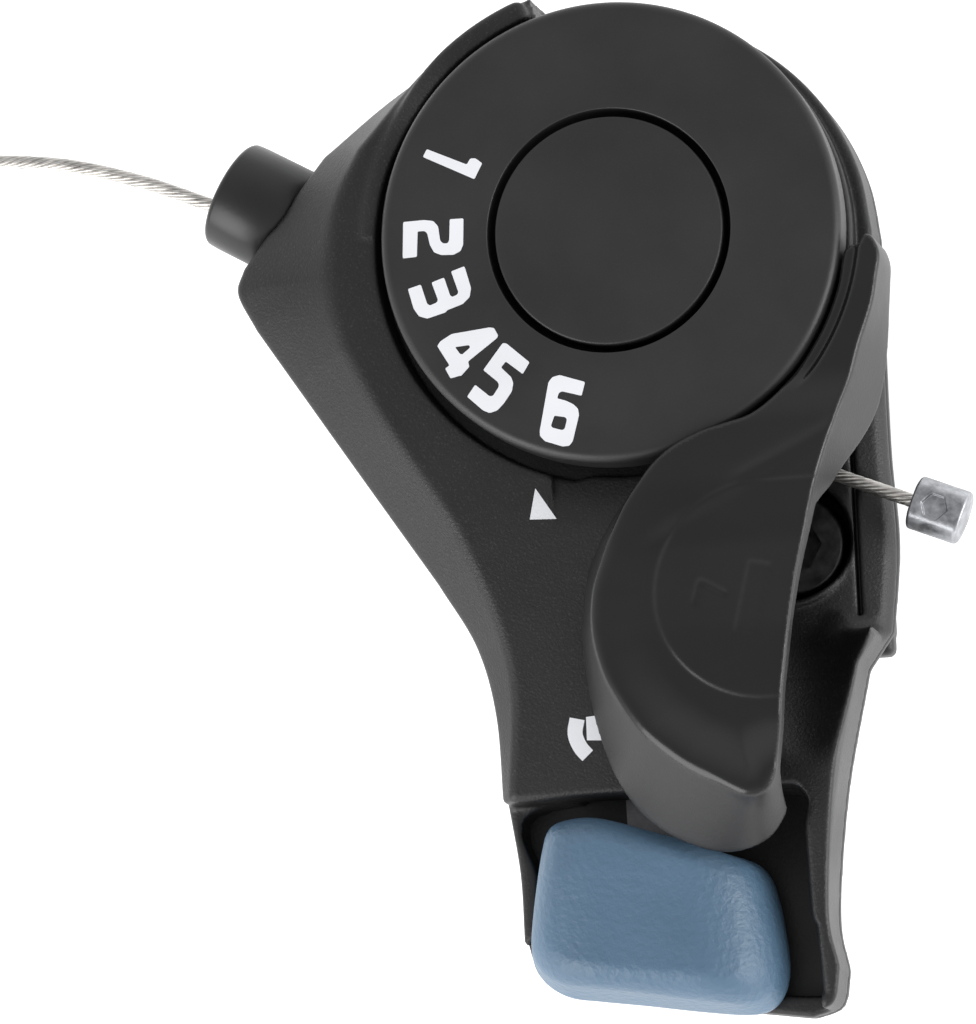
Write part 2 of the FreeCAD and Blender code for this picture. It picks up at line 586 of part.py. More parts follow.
# ---------------------------------------------------------------- pawl and release
def holding_pawl():
    """Bell crank: one arm meets the ratchet teeth and the other is pushed by the release arm."""
    x, y = PAWL_PIN
    hub = cylinder(2.5, PAWL_Z, PAWL_PIN)
    tip = on_dial(RATCHET_TIP_R + PAWL_GAP, PAWL_TIP_ANGLE)
    arm = prism([(x, y + 0.2), tip, (tip[0], tip[1] - 1.2), (-4.2, -16.0), (x, y - 2.2)], PAWL_Z)
    tail = rib((x + 0.4, y - 1.0), (x + 0.5, y - 5.6), 2.2, PAWL_Z)
    return hub.fuse([arm, tail]).cut(cylinder(PAWL_PIN_R + RUN, (0, 40), PAWL_PIN)).removeSplitter()


def release_arm():
    """Steel arm on its pin: its nose works the pawl and its tongue carries the button."""
    x, y = RELEASE_PIN
    hub = cylinder(3.2, PAWL_Z, RELEASE_PIN)
    nose = rib((x - 1.0, y + 2.0), (-9.2, -17.8), 2.4, PAWL_Z)
    shank = rib((x, y), (0.6, -45.0), 4.6, PAWL_Z)
    tongue = rib((0.6, -45.0), (0.8, -57.0), 7.0, PAWL_Z)
    shape = hub.fuse([nose, shank, tongue])
    shape = shape.cut(cylinder(RELEASE_PIN_R + RUN, (0, 40), RELEASE_PIN))
    return shape.removeSplitter()


def release_button():
    """Soft-cornered key that the thumb pushes sideways."""
    z0, z1 = BUTTON_Z
    low = prism(BUTTON, (z0, z1))
    corners = [e for e in low.Edges if e.BoundBox.ZLength > 1]
    low = low.makeFillet(BUTTON_ROUND, corners)
    low = soften(low, 1.9, at_height(z1))
    foot = prism([(-4.6, -48.6), (-4.6, -60.2), (6.2, -61.6), (6.2, -50.6)], (PAWL_Z[0] - 0.25, z0 + 1))
    shape = low.fuse(foot)
    slot = rib((0.6, -45.0), (0.8, -57.0), 7.04, (PAWL_Z[0] - 0.02, PAWL_Z[1] + 0.02))
    return shape.cut(slot).removeSplitter()


# ---------------------------------------------------------------- cable
CABLE_PATH = [(30.2, -12.2, 18.0), (14.0, -12.2, 18.0), (5.0, -12.2, 18.0), (-3.0, -10.9, 18.0),
              (-12.0, -8.4, 17.5), (-22.3, -7.65, 14.6)]
STOP_PATH = [(6.0, 0.0), (0.0, 1.5)]    # distance inwards from the stop's mouth, and to its side
CABLE_TAIL = [(-41.8, 9.6), (-48.2, 11.6), (-54.0, 12.5), (-59.4, 12.8)]


def inner_cable():
    """The steel cable, from its head past the drum and out through the casing stop."""
    points = [along_cable(u, v, z) for u, v, z in CABLE_PATH]
    a = math.radians(STOP_ANGLE)
    for inwards, aside in STOP_PATH:
        step = Vector(inwards * math.cos(a) + aside * math.sin(a),
                      inwards * math.sin(a) - aside * math.cos(a), 0)
        points.append(Vector(*STOP_MOUTH) + step)
    points.extend(Vector(x, y, STOP_MOUTH[2]) for x, y in CABLE_TAIL)
    spline = Part.BSplineCurve()
    spline.interpolate(points)
    path = Part.Wire(spline.toShape())
    profile = Part.Wire(Part.makeCircle(CABLE_R, points[0], points[1] - points[0]))
    return path.makePipeShell([profile], True, True)


def cable_nipple():
    """Cast head on the cable's end."""
    centre = HEAD_OFFSET
    body = cable_cylinder(NIPPLE_R, NIPPLE_U, centre)
    body = body.makeFillet(0.45, [e for e in body.Edges if e.Length > 10 and e.isClosed()])
    return body.cut(cable_cylinder(CABLE_R, (NIPPLE_U[0] - 1, 30.25), centre))


# ---------------------------------------------------------------- export
PIECES = [
    clamp_bracket, housing_cover, cable_casing_stop, clamp_bolt, clamp_nut, housing_screws, pivot_axle,
    pivot_screw, pivot_washer, pawl_pin, release_pin, retaining_clips, pawl_spring, release_spring,
    drum_bush, cable_drum, ratchet_plate, thumb_lever, dial_disc, centre_cap, holding_pawl, release_arm,
    release_button, inner_cable, cable_nipple,
]


def save(make):
    """Builds one piece, moves it into the row frame and writes its STEP file."""
    shape = make()
    shape.translate(Vector(-CLAMP_AT[0], -CLAMP_AT[1], 0))
    solids = len(shape.Solids)
    print(f"{make.__name__:20s} solids {solids} valid {shape.isValid()} volume {shape.Volume:9.1f} mm3")
    shape.exportStep(f"parts/{make.__name__}.step")


def main():
    os.makedirs("parts", exist_ok=True)
    for make in PIECES:
        save(make)


main()
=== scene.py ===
"""Looks for the thumb shifter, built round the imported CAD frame.

Shapes are worked out in millimetres about the dial's axis, where X and Y are 0, at their real heights.
to_row() moves them into the frame and into metres. Moulded parts are distance fields, turned into meshes.
"""

import math

import bpy
import numpy as np
import openvdb
from mathutils import Matrix, Vector
from mathutils.geometry import tessellate_polygon

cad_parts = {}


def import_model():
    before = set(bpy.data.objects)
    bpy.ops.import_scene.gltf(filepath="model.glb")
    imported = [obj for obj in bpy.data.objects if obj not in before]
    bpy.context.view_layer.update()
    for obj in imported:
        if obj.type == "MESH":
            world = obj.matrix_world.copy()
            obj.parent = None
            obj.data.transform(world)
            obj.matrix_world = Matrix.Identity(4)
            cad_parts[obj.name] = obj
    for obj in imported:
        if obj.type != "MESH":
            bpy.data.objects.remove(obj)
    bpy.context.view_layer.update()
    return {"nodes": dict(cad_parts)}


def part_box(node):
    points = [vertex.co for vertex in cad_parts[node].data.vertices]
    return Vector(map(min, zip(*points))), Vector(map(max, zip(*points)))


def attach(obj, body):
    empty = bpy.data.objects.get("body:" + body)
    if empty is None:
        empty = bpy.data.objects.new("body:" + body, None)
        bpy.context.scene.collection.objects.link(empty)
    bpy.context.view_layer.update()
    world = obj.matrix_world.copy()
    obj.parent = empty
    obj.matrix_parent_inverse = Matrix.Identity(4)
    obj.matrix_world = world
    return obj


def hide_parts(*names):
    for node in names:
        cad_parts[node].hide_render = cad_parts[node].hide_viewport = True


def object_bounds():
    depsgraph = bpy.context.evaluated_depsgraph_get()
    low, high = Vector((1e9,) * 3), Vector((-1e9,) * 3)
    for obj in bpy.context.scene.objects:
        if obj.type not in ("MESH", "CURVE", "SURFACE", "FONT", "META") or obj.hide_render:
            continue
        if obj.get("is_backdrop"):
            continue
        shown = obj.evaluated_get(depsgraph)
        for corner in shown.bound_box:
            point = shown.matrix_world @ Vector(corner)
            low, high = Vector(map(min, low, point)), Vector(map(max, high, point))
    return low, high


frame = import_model()

MM = 0.001
dial_low, dial_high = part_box("dial_disc")
AXIS = np.array([(dial_low.x + dial_high.x) / 2, (dial_low.y + dial_high.y) / 2, 0.0]) / MM
DIAL_TOP = dial_high.z / MM
DIAL_R = (dial_high.x - dial_low.x) / 2 / MM
DIAL_GAP = 0.5
BOLT = tuple(np.array((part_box("clamp_bolt")[0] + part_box("clamp_bolt")[1]) / 2)[:2] / MM - AXIS[:2])
COVER_TOP = 23.4
CLAMP = tuple(-AXIS[:2])
EDGE_Z = 19.2           # the cover's upright side ends here and its bevel begins
BASE_TOP = 13.4


# ---------------------------------------------------------------- meshes
def to_row(points):
    """Points about the dial's axis, in millimetres, as row-frame metres."""
    return (np.asarray(points, float) + AXIS) * MM


def piece(name, points, faces, body, material, replaces=(), normals=None, smooth=True):
    """Makes a mesh object that rides on a body."""
    mesh = bpy.data.meshes.new(name)
    mesh.from_pydata(to_row(points).tolist(), [], faces)
    mesh.validate()
    mesh.polygons.foreach_set("use_smooth", [smooth] * len(mesh.polygons))
    if normals is not None and len(mesh.vertices) == len(normals):
        mesh.normals_split_custom_set_from_vertices(normals.tolist())
    obj = bpy.data.objects.new(name, mesh)
    bpy.context.scene.collection.objects.link(obj)
    mesh.materials.append(material)
    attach(obj, body)
    if replaces:
        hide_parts(*replaces)
    return obj


# ---------------------------------------------------------------- distance fields
class Grid:
    """A regular grid of points, whose x, y and z broadcast together."""

    def __init__(self, low, high, step):
        self.low, self.step = np.array(low, float), step
        counts = [int(math.ceil((b - a) / step)) + 1 for a, b in zip(low, high)]
        axes = [a + step * np.arange(n, dtype=np.float32) for a, n in zip(low, counts)]
        self.shape = tuple(counts)
        self.x = axes[0][:, None, None]
        self.y = axes[1][None, :, None]
        self.z = axes[2][None, None, :]

    def sample(self, field, points):
        """The field at points, by linear interpolation."""
        at = np.clip((points - self.low) / self.step, 0, np.array(self.shape) - 1.001)
        base = at.astype(int)
        part = at - base
        total = np.zeros(len(points))
        for corner in np.ndindex(2, 2, 2):
            i, j, k = (base + corner).T
            weight = np.prod(np.where(corner, part, 1 - part), axis=1)
            total += field[i, j, k] * weight
        return total


def surface(grid, field, relax=3):
    """The field's zero surface: vertices, faces and smooth normals."""
    field = np.broadcast_to(field, grid.shape).astype(np.float32).copy()
    for axis in range(3):
        rim = [slice(None)] * 3
        for end in (0, -1):
            rim[axis] = end
            field[tuple(rim)] = np.maximum(field[tuple(rim)], grid.step)
    limit = 4 * grid.step
    volume = openvdb.FloatGrid(limit)
    volume.copyFromArray(np.clip(field, -limit, limit))
    points, triangles, quads = volume.convertToPolygons(isovalue=0.0, adaptivity=0.0)
    points = grid.low + points.astype(float) * grid.step
    slopes = np.gradient(field, grid.step)
    for _ in range(relax):
        value = grid.sample(field, points)
        slope = np.stack([grid.sample(s, points) for s in slopes], 1)
        size = np.maximum((slope ** 2).sum(1), 0.05)
        move = -(value / size)[:, None] * slope
        points += np.clip(move, -grid.step / 2, grid.step / 2) * 0.8
    slope = np.stack([grid.sample(s, points) for s in slopes], 1)
    normals = slope / np.maximum(np.linalg.norm(slope, axis=1), 1e-6)[:, None]
    faces = quads.tolist() + triangles.tolist()
    a, b, c = (points[[f[k] for f in faces[:200]]] for k in range(3))
    facing = (np.cross(b - a, c - a) * normals[[f[0] for f in faces[:200]]]).sum()
    if facing < 0:
        faces = [f[::-1] for f in faces]
    return points, faces, normals


def smooth_line(points, steps=10):
    """A smooth curve through points; two points give a line."""
    p = np.array(points, float)
    if len(p) == 2:
        return p[:1]
    ends = np.vstack([2 * p[0] - p[1], p, 2 * p[-1] - p[-2]])
    out = []
    for k in range(1, len(ends) - 2):
        a, b, c, d = ends[k - 1: k + 3]
        for s in range(steps):
            t = s / steps
            out.append(0.5 * (2 * b + (c - a) * t + (2 * a - 5 * b + 4 * c - d) * t * t
                              + (3 * b - a - 3 * c + d) * t ** 3))
    return np.array(out)


def outline(stretches, steps=10):
    """A closed outline from stretches that join end to end."""
    return np.vstack([smooth_line(s, steps) for s in stretches])


def loop(points, steps=8):
    """A smooth closed outline through points."""
    n = len(points)
    p = np.array([points[k % n] for k in range(-1, n + 2)], float)
    out = []
    for k in range(1, n + 1):
        a, b, c, d = p[k - 1: k + 3]
        for s in range(steps):
            t = s / steps
            out.append(0.5 * (2 * b + (c - a) * t + (2 * a - 5 * b + 4 * c - d) * t * t
                              + (3 * b - a - 3 * c + d) * t ** 3))
    return np.array(out)


def plan(g, points):
    """Distance in plan to a closed outline, negative inside."""
    x, y = g.x[:, :, 0], g.y[:, :, 0]
    best = np.full((g.shape[0], g.shape[1]), 1e9, np.float32)
    inside = np.zeros(best.shape, bool)
    for (x0, y0), (x1, y1) in zip(points, np.roll(points, -1, 0)):
        dx, dy = x1 - x0, y1 - y0
        span = dx * dx + dy * dy
        if span < 1e-12:
            continue
        t = np.clip(((x - x0) * dx + (y - y0) * dy) / span, 0, 1)
        best = np.minimum(best, (x - x0 - t * dx) ** 2 + (y - y0 - t * dy) ** 2)
        if dy:
            inside ^= ((y0 > y) != (y1 > y)) & (x < x0 + (y - y0) * dx / dy)
    return (np.sqrt(best) * np.where(inside, -1, 1))[:, :, None].astype(np.float32)


def both(a, b, r=0.0):
    """What lies in both a and b, with a round of radius r where they meet."""
    if not r:
        return np.maximum(a, b)
    return np.minimum(np.maximum(a, b), -r) + np.hypot(np.maximum(a + r, 0), np.maximum(b + r, 0))


def less(a, b, r=0.0):
    return both(a, -b, r)


def either(a, b, r=0.0):
    """a and b together, with a fillet of radius r where they meet."""
    return -both(-a, -b, r)


def ramp(t):
    """0 below 0, 1 above 1, and smooth between."""
    t = np.clip(t, 0, 1)
    return t * t * (3 - 2 * t)


def block(g, x, y, z, r=0.0):
    """A box with rounded edges."""
    sides = [np.maximum(a[0] - c, c - a[1]) + r for a, c in ((x, g.x), (y, g.y), (z, g.z))]
    outside = np.sqrt(sum(np.maximum(s, 0) ** 2 for s in sides))
    return outside + np.minimum(np.maximum(np.maximum(sides[0], sides[1]), sides[2]), 0) - r


def radius(g, at=(0.0, 0.0)):
    return np.hypot(g.x - at[0], g.y - at[1])


def column(g, r, z, at=(0.0, 0.0), edge=0.0):
    """An upright cylinder between two heights."""
    return both(radius(g, at) - r, np.abs(g.z - (z[0] + z[1]) / 2) - (z[1] - z[0]) / 2, edge)


def angle(g):
    """The angle about the dial's axis, from 0 to 360."""
    return np.degrees(np.arctan2(g.y, g.x)) % 360


def on_dial(r, degrees):
    return (r * math.cos(math.radians(degrees)), r * math.sin(math.radians(degrees)))


CABLE_ANGLE = math.radians(-23.0)
ALONG = (math.cos(CABLE_ANGLE), math.sin(CABLE_ANGLE))
CABLE_Z = 18.0
HEAD_OFFSET = -12.2     # the cable's distance from the dial's axis at its head
STOP_MOUTH = (-34.6, 8.2, 14.4)
STOP_WAY = on_dial(1.0, -30.5)


def cable_frame(g):
    """Distances along the cable, across it and above it."""
    return (g.x * ALONG[0] + g.y * ALONG[1], g.y * ALONG[0] - g.x * ALONG[1], g.z - CABLE_Z)


def stop_frame(g):
    """Distances inwards from the casing stop's mouth, across its axis and above it."""
    x, y = g.x - STOP_MOUTH[0], g.y - STOP_MOUTH[1]
    return (x * STOP_WAY[0] + y * STOP_WAY[1], y * STOP_WAY[0] - x * STOP_WAY[1], g.z - STOP_MOUTH[2])


def along_cable(u, v=0.0, z=CABLE_Z):
    return np.array([u * ALONG[0] - v * ALONG[1], u * ALONG[1] + v * ALONG[0], z])


# ---------------------------------------------------------------- materials
def nodes_of(name):
    material = bpy.data.materials.new(name)
    material.use_nodes = True
    tree = material.node_tree
    return material, tree, tree.nodes["Principled BSDF"]


def add(tree, kind, **inputs):
    """A node with some of its inputs set or linked."""
    node = tree.nodes.new(kind)
    for key, value in inputs.items():
        socket = node.inputs[key.replace("_", " ")] if key.replace("_", " ") in node.inputs else None
        if socket is None:
            setattr(node, key, value)
        elif isinstance(value, bpy.types.NodeSocket):
            tree.links.new(value, socket)
        else:
            socket.default_value = value
    return node


def noise(tree, coords, scale, detail=2.0, roughness=0.5):
    node = add(tree, "ShaderNodeTexNoise", Vector=coords, Scale=scale, Detail=detail, Roughness=roughness)
    return node.outputs["Fac"]


def spread(tree, value, low, high, out_low, out_high):
    node = add(tree, "ShaderNodeMapRange", Value=value)
    for key, number in (("From Min", low), ("From Max", high), ("To Min", out_low), ("To Max", out_high)):
        node.inputs[key].default_value = number
    return node.outputs[0]


def plastic(name, colour, rough, grain_mm, depth, painted_glints=0.0, mottle=0.15, specular=0.5):
    """Moulded plastic: a fine grain in the surface, faint mottling, and optional light specks painted into
    the colour on the grain's peaks as painted glints.
    """
    material, tree, shader = nodes_of(name)
    coords = add(tree, "ShaderNodeTexCoord").outputs["Object"]
    grain = noise(tree, coords, 1000.0 / grain_mm, 3.0, 0.6)
    cloud = noise(tree, coords, 120.0, 3.0)
    cell = add(tree, "ShaderNodeTexVoronoi", Vector=coords, Scale=1000.0 / (grain_mm * 1.6))
    height = add(tree, "ShaderNodeMath", operation="MULTIPLY_ADD")
    tree.links.new(cell.outputs["Distance"], height.inputs[0])
    height.inputs[1].default_value = 0.5
    tree.links.new(grain, height.inputs[2])
    bump = add(tree, "ShaderNodeBump", Strength=1.0, Distance=depth * MM, Height=height.outputs[0])
    tree.links.new(bump.outputs[0], shader.inputs["Normal"])
    shade = add(tree, "ShaderNodeMix", data_type="RGBA")
    tree.links.new(spread(tree, cloud, 0.3, 0.7, 0.0, 1.0), shade.inputs[0])
    shade.inputs[6].default_value = (*[c * (1 - mottle) for c in colour], 1)
    shade.inputs[7].default_value = (*[c * (1 + mottle) for c in colour], 1)
    out = shade.outputs[2]
    # Painted glints: light grey specks mixed into the base colour on the grain's peaks, standing in for
    # glints off the textured surface.
    if painted_glints:
        light = add(tree, "ShaderNodeMix", data_type="RGBA")
        tree.links.new(spread(tree, grain, 0.58, 0.75, 0.0, painted_glints), light.inputs[0])
        tree.links.new(out, light.inputs[6])
        light.inputs[7].default_value = (0.35, 0.34, 0.34, 1)
        out = light.outputs[2]
    tree.links.new(out, shader.inputs["Base Color"])
    tree.links.new(spread(tree, cloud, 0.3, 0.7, rough * 0.9, rough * 1.12), shader.inputs["Roughness"])
    shader.inputs["Specular IOR Level"].default_value = specular
    return material


def metal(name, colour, rough, scratch=0.0, blotch=0.25, metallic=1.0):
    """Plated or cast metal, blotchy and faintly scratched."""
    material, tree, shader = nodes_of(name)
    coords = add(tree, "ShaderNodeTexCoord").outputs["Object"]
    cloud = noise(tree, coords, 900.0, 4.0, 0.65)
    fine = noise(tree, coords, 5200.0, 2.0)
    shade = add(tree, "ShaderNodeMix", data_type="RGBA")
    tree.links.new(spread(tree, cloud, 0.35, 0.68, 0.0, 1.0), shade.inputs[0])
    shade.inputs[6].default_value = (*[c * (1 - blotch) for c in colour], 1)
    shade.inputs[7].default_value = (*[min(1.0, c * (1 + blotch)) for c in colour], 1)
    tree.links.new(shade.outputs[2], shader.inputs["Base Color"])
    tree.links.new(spread(tree, cloud, 0.3, 0.7, rough * 0.8, rough * 1.25), shader.inputs["Roughness"])
    bump = add(tree, "ShaderNodeBump", Strength=0.6, Distance=(0.004 + scratch) * MM, Height=fine)
    tree.links.new(bump.outputs[0], shader.inputs["Normal"])
    shader.inputs["Metallic"].default_value = metallic
    return material


# The housing, cap and dial get painted glints: light specks painted into their colour.
housing_black = plastic("housing_black", (0.0095, 0.0092, 0.0095), 0.42, 0.17, 0.03, painted_glints=0.1)
bracket_black = plastic("bracket_black", (0.0105, 0.0102, 0.0105), 0.42, 0.25, 0.015)
cap_black = plastic("cap_black", (0.015, 0.0147, 0.015), 0.46, 0.14, 0.008, painted_glints=0.03)
dial_black = plastic("dial_black", (0.017, 0.0165, 0.017), 0.42, 0.15, 0.008, painted_glints=0.03)
lever_gloss = plastic("lever_gloss", (0.007, 0.007, 0.0072), 0.25, 0.35, 0.004)
lever_satin = plastic("lever_satin", (0.013, 0.0127, 0.013), 0.4, 0.2, 0.014, mottle=0.3)
button_blue = plastic("button_blue", (0.085, 0.155, 0.235), 0.42, 0.45, 0.09, mottle=0.08)
barrel_black = plastic("barrel_black", (0.011, 0.011, 0.0115), 0.33, 0.3, 0.006)
print_white = plastic("print_white", (0.8, 0.81, 0.84), 0.55, 0.2, 0.004, mottle=0.04)
wire_steel = metal("wire_steel", (0.62, 0.6, 0.57), 0.33)
zinc = metal("zinc", (0.42, 0.43, 0.45), 0.4, scratch=0.012, blotch=0.35)
bolt_steel = metal("bolt_steel", (0.18, 0.18, 0.185), 0.4)
works_steel = metal("works_steel", (0.45, 0.45, 0.44), 0.35)
brass = metal("brass", (0.6, 0.42, 0.17), 0.35)
acetal = plastic("acetal", (0.02, 0.02, 0.02), 0.35, 0.4, 0.004)


# ---------------------------------------------------------------- housing
RIM_R = 21.8
SIDE_R = 20.5           # the right side's foot stands out beyond the dial
TAB_ANGLE = 107.0


def ring_stations(low_radius, high_radius, start, end, steps=4):
    """Stations round the dial, the lower outline's radius running evenly down to the upper one's."""
    stations = []
    for k in range(steps + 1):
        degrees = start + (end - start) * k / steps
        low = low_radius + (high_radius - low_radius) * k / steps
        stations.append((on_dial(low, degrees), on_dial(high_radius, degrees)))
    return stations


BODY = [
    [((19.9, -33.0), (19.2, -33.0)), ((20.7, -25.5), (19.2, -25.5)), ((20.4, -17.0), (19.2, -17.0)),
     ((SIDE_R, 0.0), (19.2, 0.0))],
    ring_stations(SIDE_R, DIAL_R, 0.0, 104.0, 8),
    [(on_dial(DIAL_R, 104.0),) * 2, (on_dial(RIM_R, TAB_ANGLE),) * 2],
    [(on_dial(RIM_R, TAB_ANGLE),) * 2, ((-18.0, 14.9), (-14.6, 16.2)), ((-25.4, 9.7), (-21.4, 9.2))],
    [((-25.4, 9.7), (-21.4, 9.2)), ((-29.1, 5.3), (-23.7, 4.6)), ((-32.8, 0.7), (-24.6, -0.7))],
    [((-32.8, 0.7), (-24.6, -0.7)), ((-33.4, -1.4), (-24.3, -4.2)), ((-31.9, -4.6), (-23.4, -7.5))],
    [((-31.9, -4.6), (-23.4, -7.5)), ((-24.5, -16.0), (-20.0, -14.2)), ((-17.2, -27.2), (-14.3, -23.3))],
    [((-17.2, -27.2), (-14.3, -23.3)), ((-14.2, -32.6), (-11.0, -30.0)), ((-12.8, -38.5), (-9.0, -37.0)),
     ((-12.5, -46.0), (-9.6, -46.0))],
    [((-12.5, -46.0), (-9.6, -46.0)), ((-11.8, -51.5), (-10.4, -51.5)), ((-11.7, -57.0), (-10.6, -57.0))],
    [((-11.7, -57.0), (-10.6, -57.0)), ((-10.9, -59.8), (-10.1, -59.2)), ((-8.6, -61.5), (-8.2, -60.5))],
    [((-8.6, -61.5), (-8.2, -60.5)), ((11.8, -64.5), (11.6, -63.6))],
    [((11.8, -64.5), (11.6, -63.6)), ((14.1, -63.6), (13.5, -63.0)), ((14.8, -60.8), (14.2, -60.6))],
    [((14.8, -60.8), (14.2, -60.6)), ((14.2, -56.0), (13.7, -56.0)), ((15.4, -46.0), (14.9, -46.0)),
     ((17.7, -36.0), (17.3, -36.0))],
    [((17.7, -36.0), (17.3, -36.0)), ((19.9, -33.0), (19.2, -33.0))],
]
POCKET_Y = -46.0        # the cover's top ends here, at the release button's pocket
STEP_X = -6.3           # the cover is lowered from here on, where the lever's arm comes out


def body_outline(which):
    """The body's lower (0) or upper (1) outline."""
    return outline([[station[which] for station in stretch] for stretch in BODY])


def cover_height(y):
    """The height of the cover's top, which slopes down along the leg."""
    past = -22.0 - y
    return COVER_TOP - 0.117 * (past + np.sqrt(past * past + 4.0)) / 2


def bevelled_side(g):
    """Distance to the cover's side, upright below EDGE_Z and bevelled above it."""
    low, high = plan(g, body_outline(0)), plan(g, body_outline(1))
    rise = (g.z - EDGE_Z) / (COVER_TOP - EDGE_Z)
    root = np.sqrt(rise * rise + 0.004)
    lean = (high - low) / (COVER_TOP - EDGE_Z) * (1 + rise / root) / 2
    share = (rise + root) / 2
    return (low * (1 - share) + high * share) / np.sqrt(1 + lean * lean)


def raised_rim(g):
    """The rim beside the dial, from its tab down to where it runs into the cover's top."""
    turn = angle(g)
    top = 24.9 - 1.5 * ramp((turn - 128.0) / 30.0)
    rim = both(both(radius(g) - (RIM_R - 0.15), g.z - top, 0.5), DIAL_R + DIAL_GAP - radius(g), 0.3)
    rim = both(rim, (TAB_ANGLE + 1.3 - turn) * 0.35, 0.9)
    return np.maximum(np.maximum(rim, (turn - 175.0) * 0.35), COVER_TOP - 3.0 - g.z)


def lowered_for_lever(g):
    """The space over the cover that the lever's arm and hub sweep."""
    turn = angle(g)
    shallow = COVER_TOP - 0.95 + 0.95 * np.clip((radius(g) - DIAL_R - DIAL_GAP) / 4.6, 0, 1)
    deep = ramp((turn - 284.0) / 6.0) + (turn < TAB_ANGLE + 5)
    base = shallow + (20.6 - shallow) * np.clip(deep, 0, 1)
    ends = np.where(g.y < 0, STEP_X - g.x, (turn - TAB_ANGLE) * 0.35)
    return both(np.maximum(radius(g) - 24.3, ends), base - g.z, 0.15)


def scoop(g):
    """The inclined hollow in front of the clamp bolt."""
    way = np.array([0.09, -1.0, 0.44])
    way /= np.linalg.norm(way)
    x, y, z = g.x - 11.9, g.y + 24.0, g.z - 19.2
    along = x * way[0] + y * way[1] + z * way[2]
    across = np.sqrt(np.maximum(x * x + y * y + z * z - along * along, 1e-6))
    return both(across - 6.5, np.maximum(g.y + 31.3, 16.0 - g.z), 0.3)


def button_pocket(g, shape):
    """Opens the leg's end: a high wall on the right, low walls on the left and in front."""
    wall = 12.55 + 0.1 * np.maximum(-56.0 - g.y, 0)
    back = both(g.y - POCKET_Y, g.x - wall, 0.6)
    shape = less(shape, both(np.maximum(back, -62.6 - g.y), 17.0 - g.z, 0.4), 0.7)
    shape = less(shape, both(both(g.y - POCKET_Y, g.x - 12.0, 0.6), 17.0 - g.z, 0.4), 0.5)
    floor_plan = plan(g, loop([(-10.5, -46.4), (-10.3, -52.0), (-10.0, -57.0), (-7.8, -59.8), (1.5, -61.3),
                               (11.4, -62.7), (13.0, -61.8), (12.6, -56.0), (12.5, -50.0), (12.4, -46.4),
                               (3.0, -46.0)]))
    shape = less(shape, both(floor_plan, BASE_TOP - g.z, 0.0), 0.4)
    front = both(g.y + 57.0, np.maximum(g.x - 13.1, -11.4 - g.x), 0.5)
    shape = less(shape, both(front, 15.0 - g.z, 0.4), 0.4)
    notch = np.maximum(np.abs(g.x) - 6.5, np.maximum(POCKET_Y - 1.0 - g.y, g.y - POCKET_Y - 3.0))
    return less(shape, np.maximum(notch, g.z - 16.4))


def inside(g, side):
    """The hollow under the cover's skin."""
    hollow = both(side + 1.8, g.z - (cover_height(g.y) - 1.7))
    hollow = np.maximum(hollow, np.maximum(POCKET_Y + 1.8 - g.y, g.y - 26.0))
    hollow = less(hollow, both(4.4 - g.x, both(g.y + 12.0, -37.0 - g.y)))
    hollow = less(hollow, both(6.4 - g.x, both(g.y + 37.0, -50.0 - g.y)))
    hollow = less(hollow, both(radius(g) - DIAL_R - 2.4, 18.6 - g.z))
    return np.maximum(np.minimum(hollow, radius(g) - (DIAL_R - 1.7)), g.z - 21.6)


def housing():
    """Top moulding: pod, leg and the release button's pocket."""
    g = Grid((-35, -66, 12.8), (21, 23.5, 26), 0.22)
    side = bevelled_side(g)
    shape = both(side, g.z - cover_height(g.y), 0.35)
    shape = either(shape, raised_rim(g), 0.5)
    turn = angle(g)
    gap = DIAL_GAP + 0.6 * ramp((turn - 125.0) / 40.0) * ramp((262.0 - turn) / 6.0)
    shape = less(shape, both(radius(g) - DIAL_R - gap, 20.6 - g.z), 0.3)
    shape = less(shape, lowered_for_lever(g), 0.25)
    right_half = np.where((turn > 300) | (turn < TAB_ANGLE), -1.0, 1.0)
    shape = less(shape, np.maximum(np.maximum(DIAL_R - radius(g), 18.6 - g.z), right_half), 0.5)
    deck = both(both(6.0 - g.x, -31.4 - g.y, 1.2), both(16.0 - g.z, DIAL_R - radius(g), 0.3), 0.6)
    shape = less(shape, np.maximum(deck, g.y + 10.0), 0.4)
    shape = either(shape, column(g, 5.75, (14.0, 16.5), BOLT, 0.3), 0.3)
    shape = less(shape, column(g, 5.2, (5.0, 40.0), BOLT), 0.25)
    shape = less(shape, scoop(g), 0.45)
    above_slope = 0.439 * (17.4 - g.x) + 0.898 * (16.05 - g.z)
    beside_bolt = both(np.abs(g.y + 21.5) - 11.5, DIAL_R - radius(g), 0.4)
    shape = less(shape, both(above_slope, beside_bolt, 0.5), 1.3)
    seam = both(np.abs(g.x - 17.5) - 0.17, np.maximum(14.6 - g.z, np.abs(g.y + 21.5) - 10.2))
    shape = less(shape, seam, 0.2)
    shape = button_pocket(g, shape)

    out, aside, up = stop_frame(g)
    shape = less(shape, both(np.hypot(aside, up) - 4.9, out - 9.0), 0.2)
    shape = less(shape, both(np.hypot(aside, up) - 3.4, out - 16.0))
    u, v, w = cable_frame(g)
    shape = less(shape, both(np.hypot(v - HEAD_OFFSET, w) - 2.7, 6.0 - u), 0.3)
    shape = less(shape, inside(g, side))
    shape = np.maximum(shape, BASE_TOP + 0.02 - g.z)
    points, faces, normals = surface(g, shape)
    piece("housing_cover_shell", points, faces, "housing", housing_black, ["housing_cover"],
          normals)


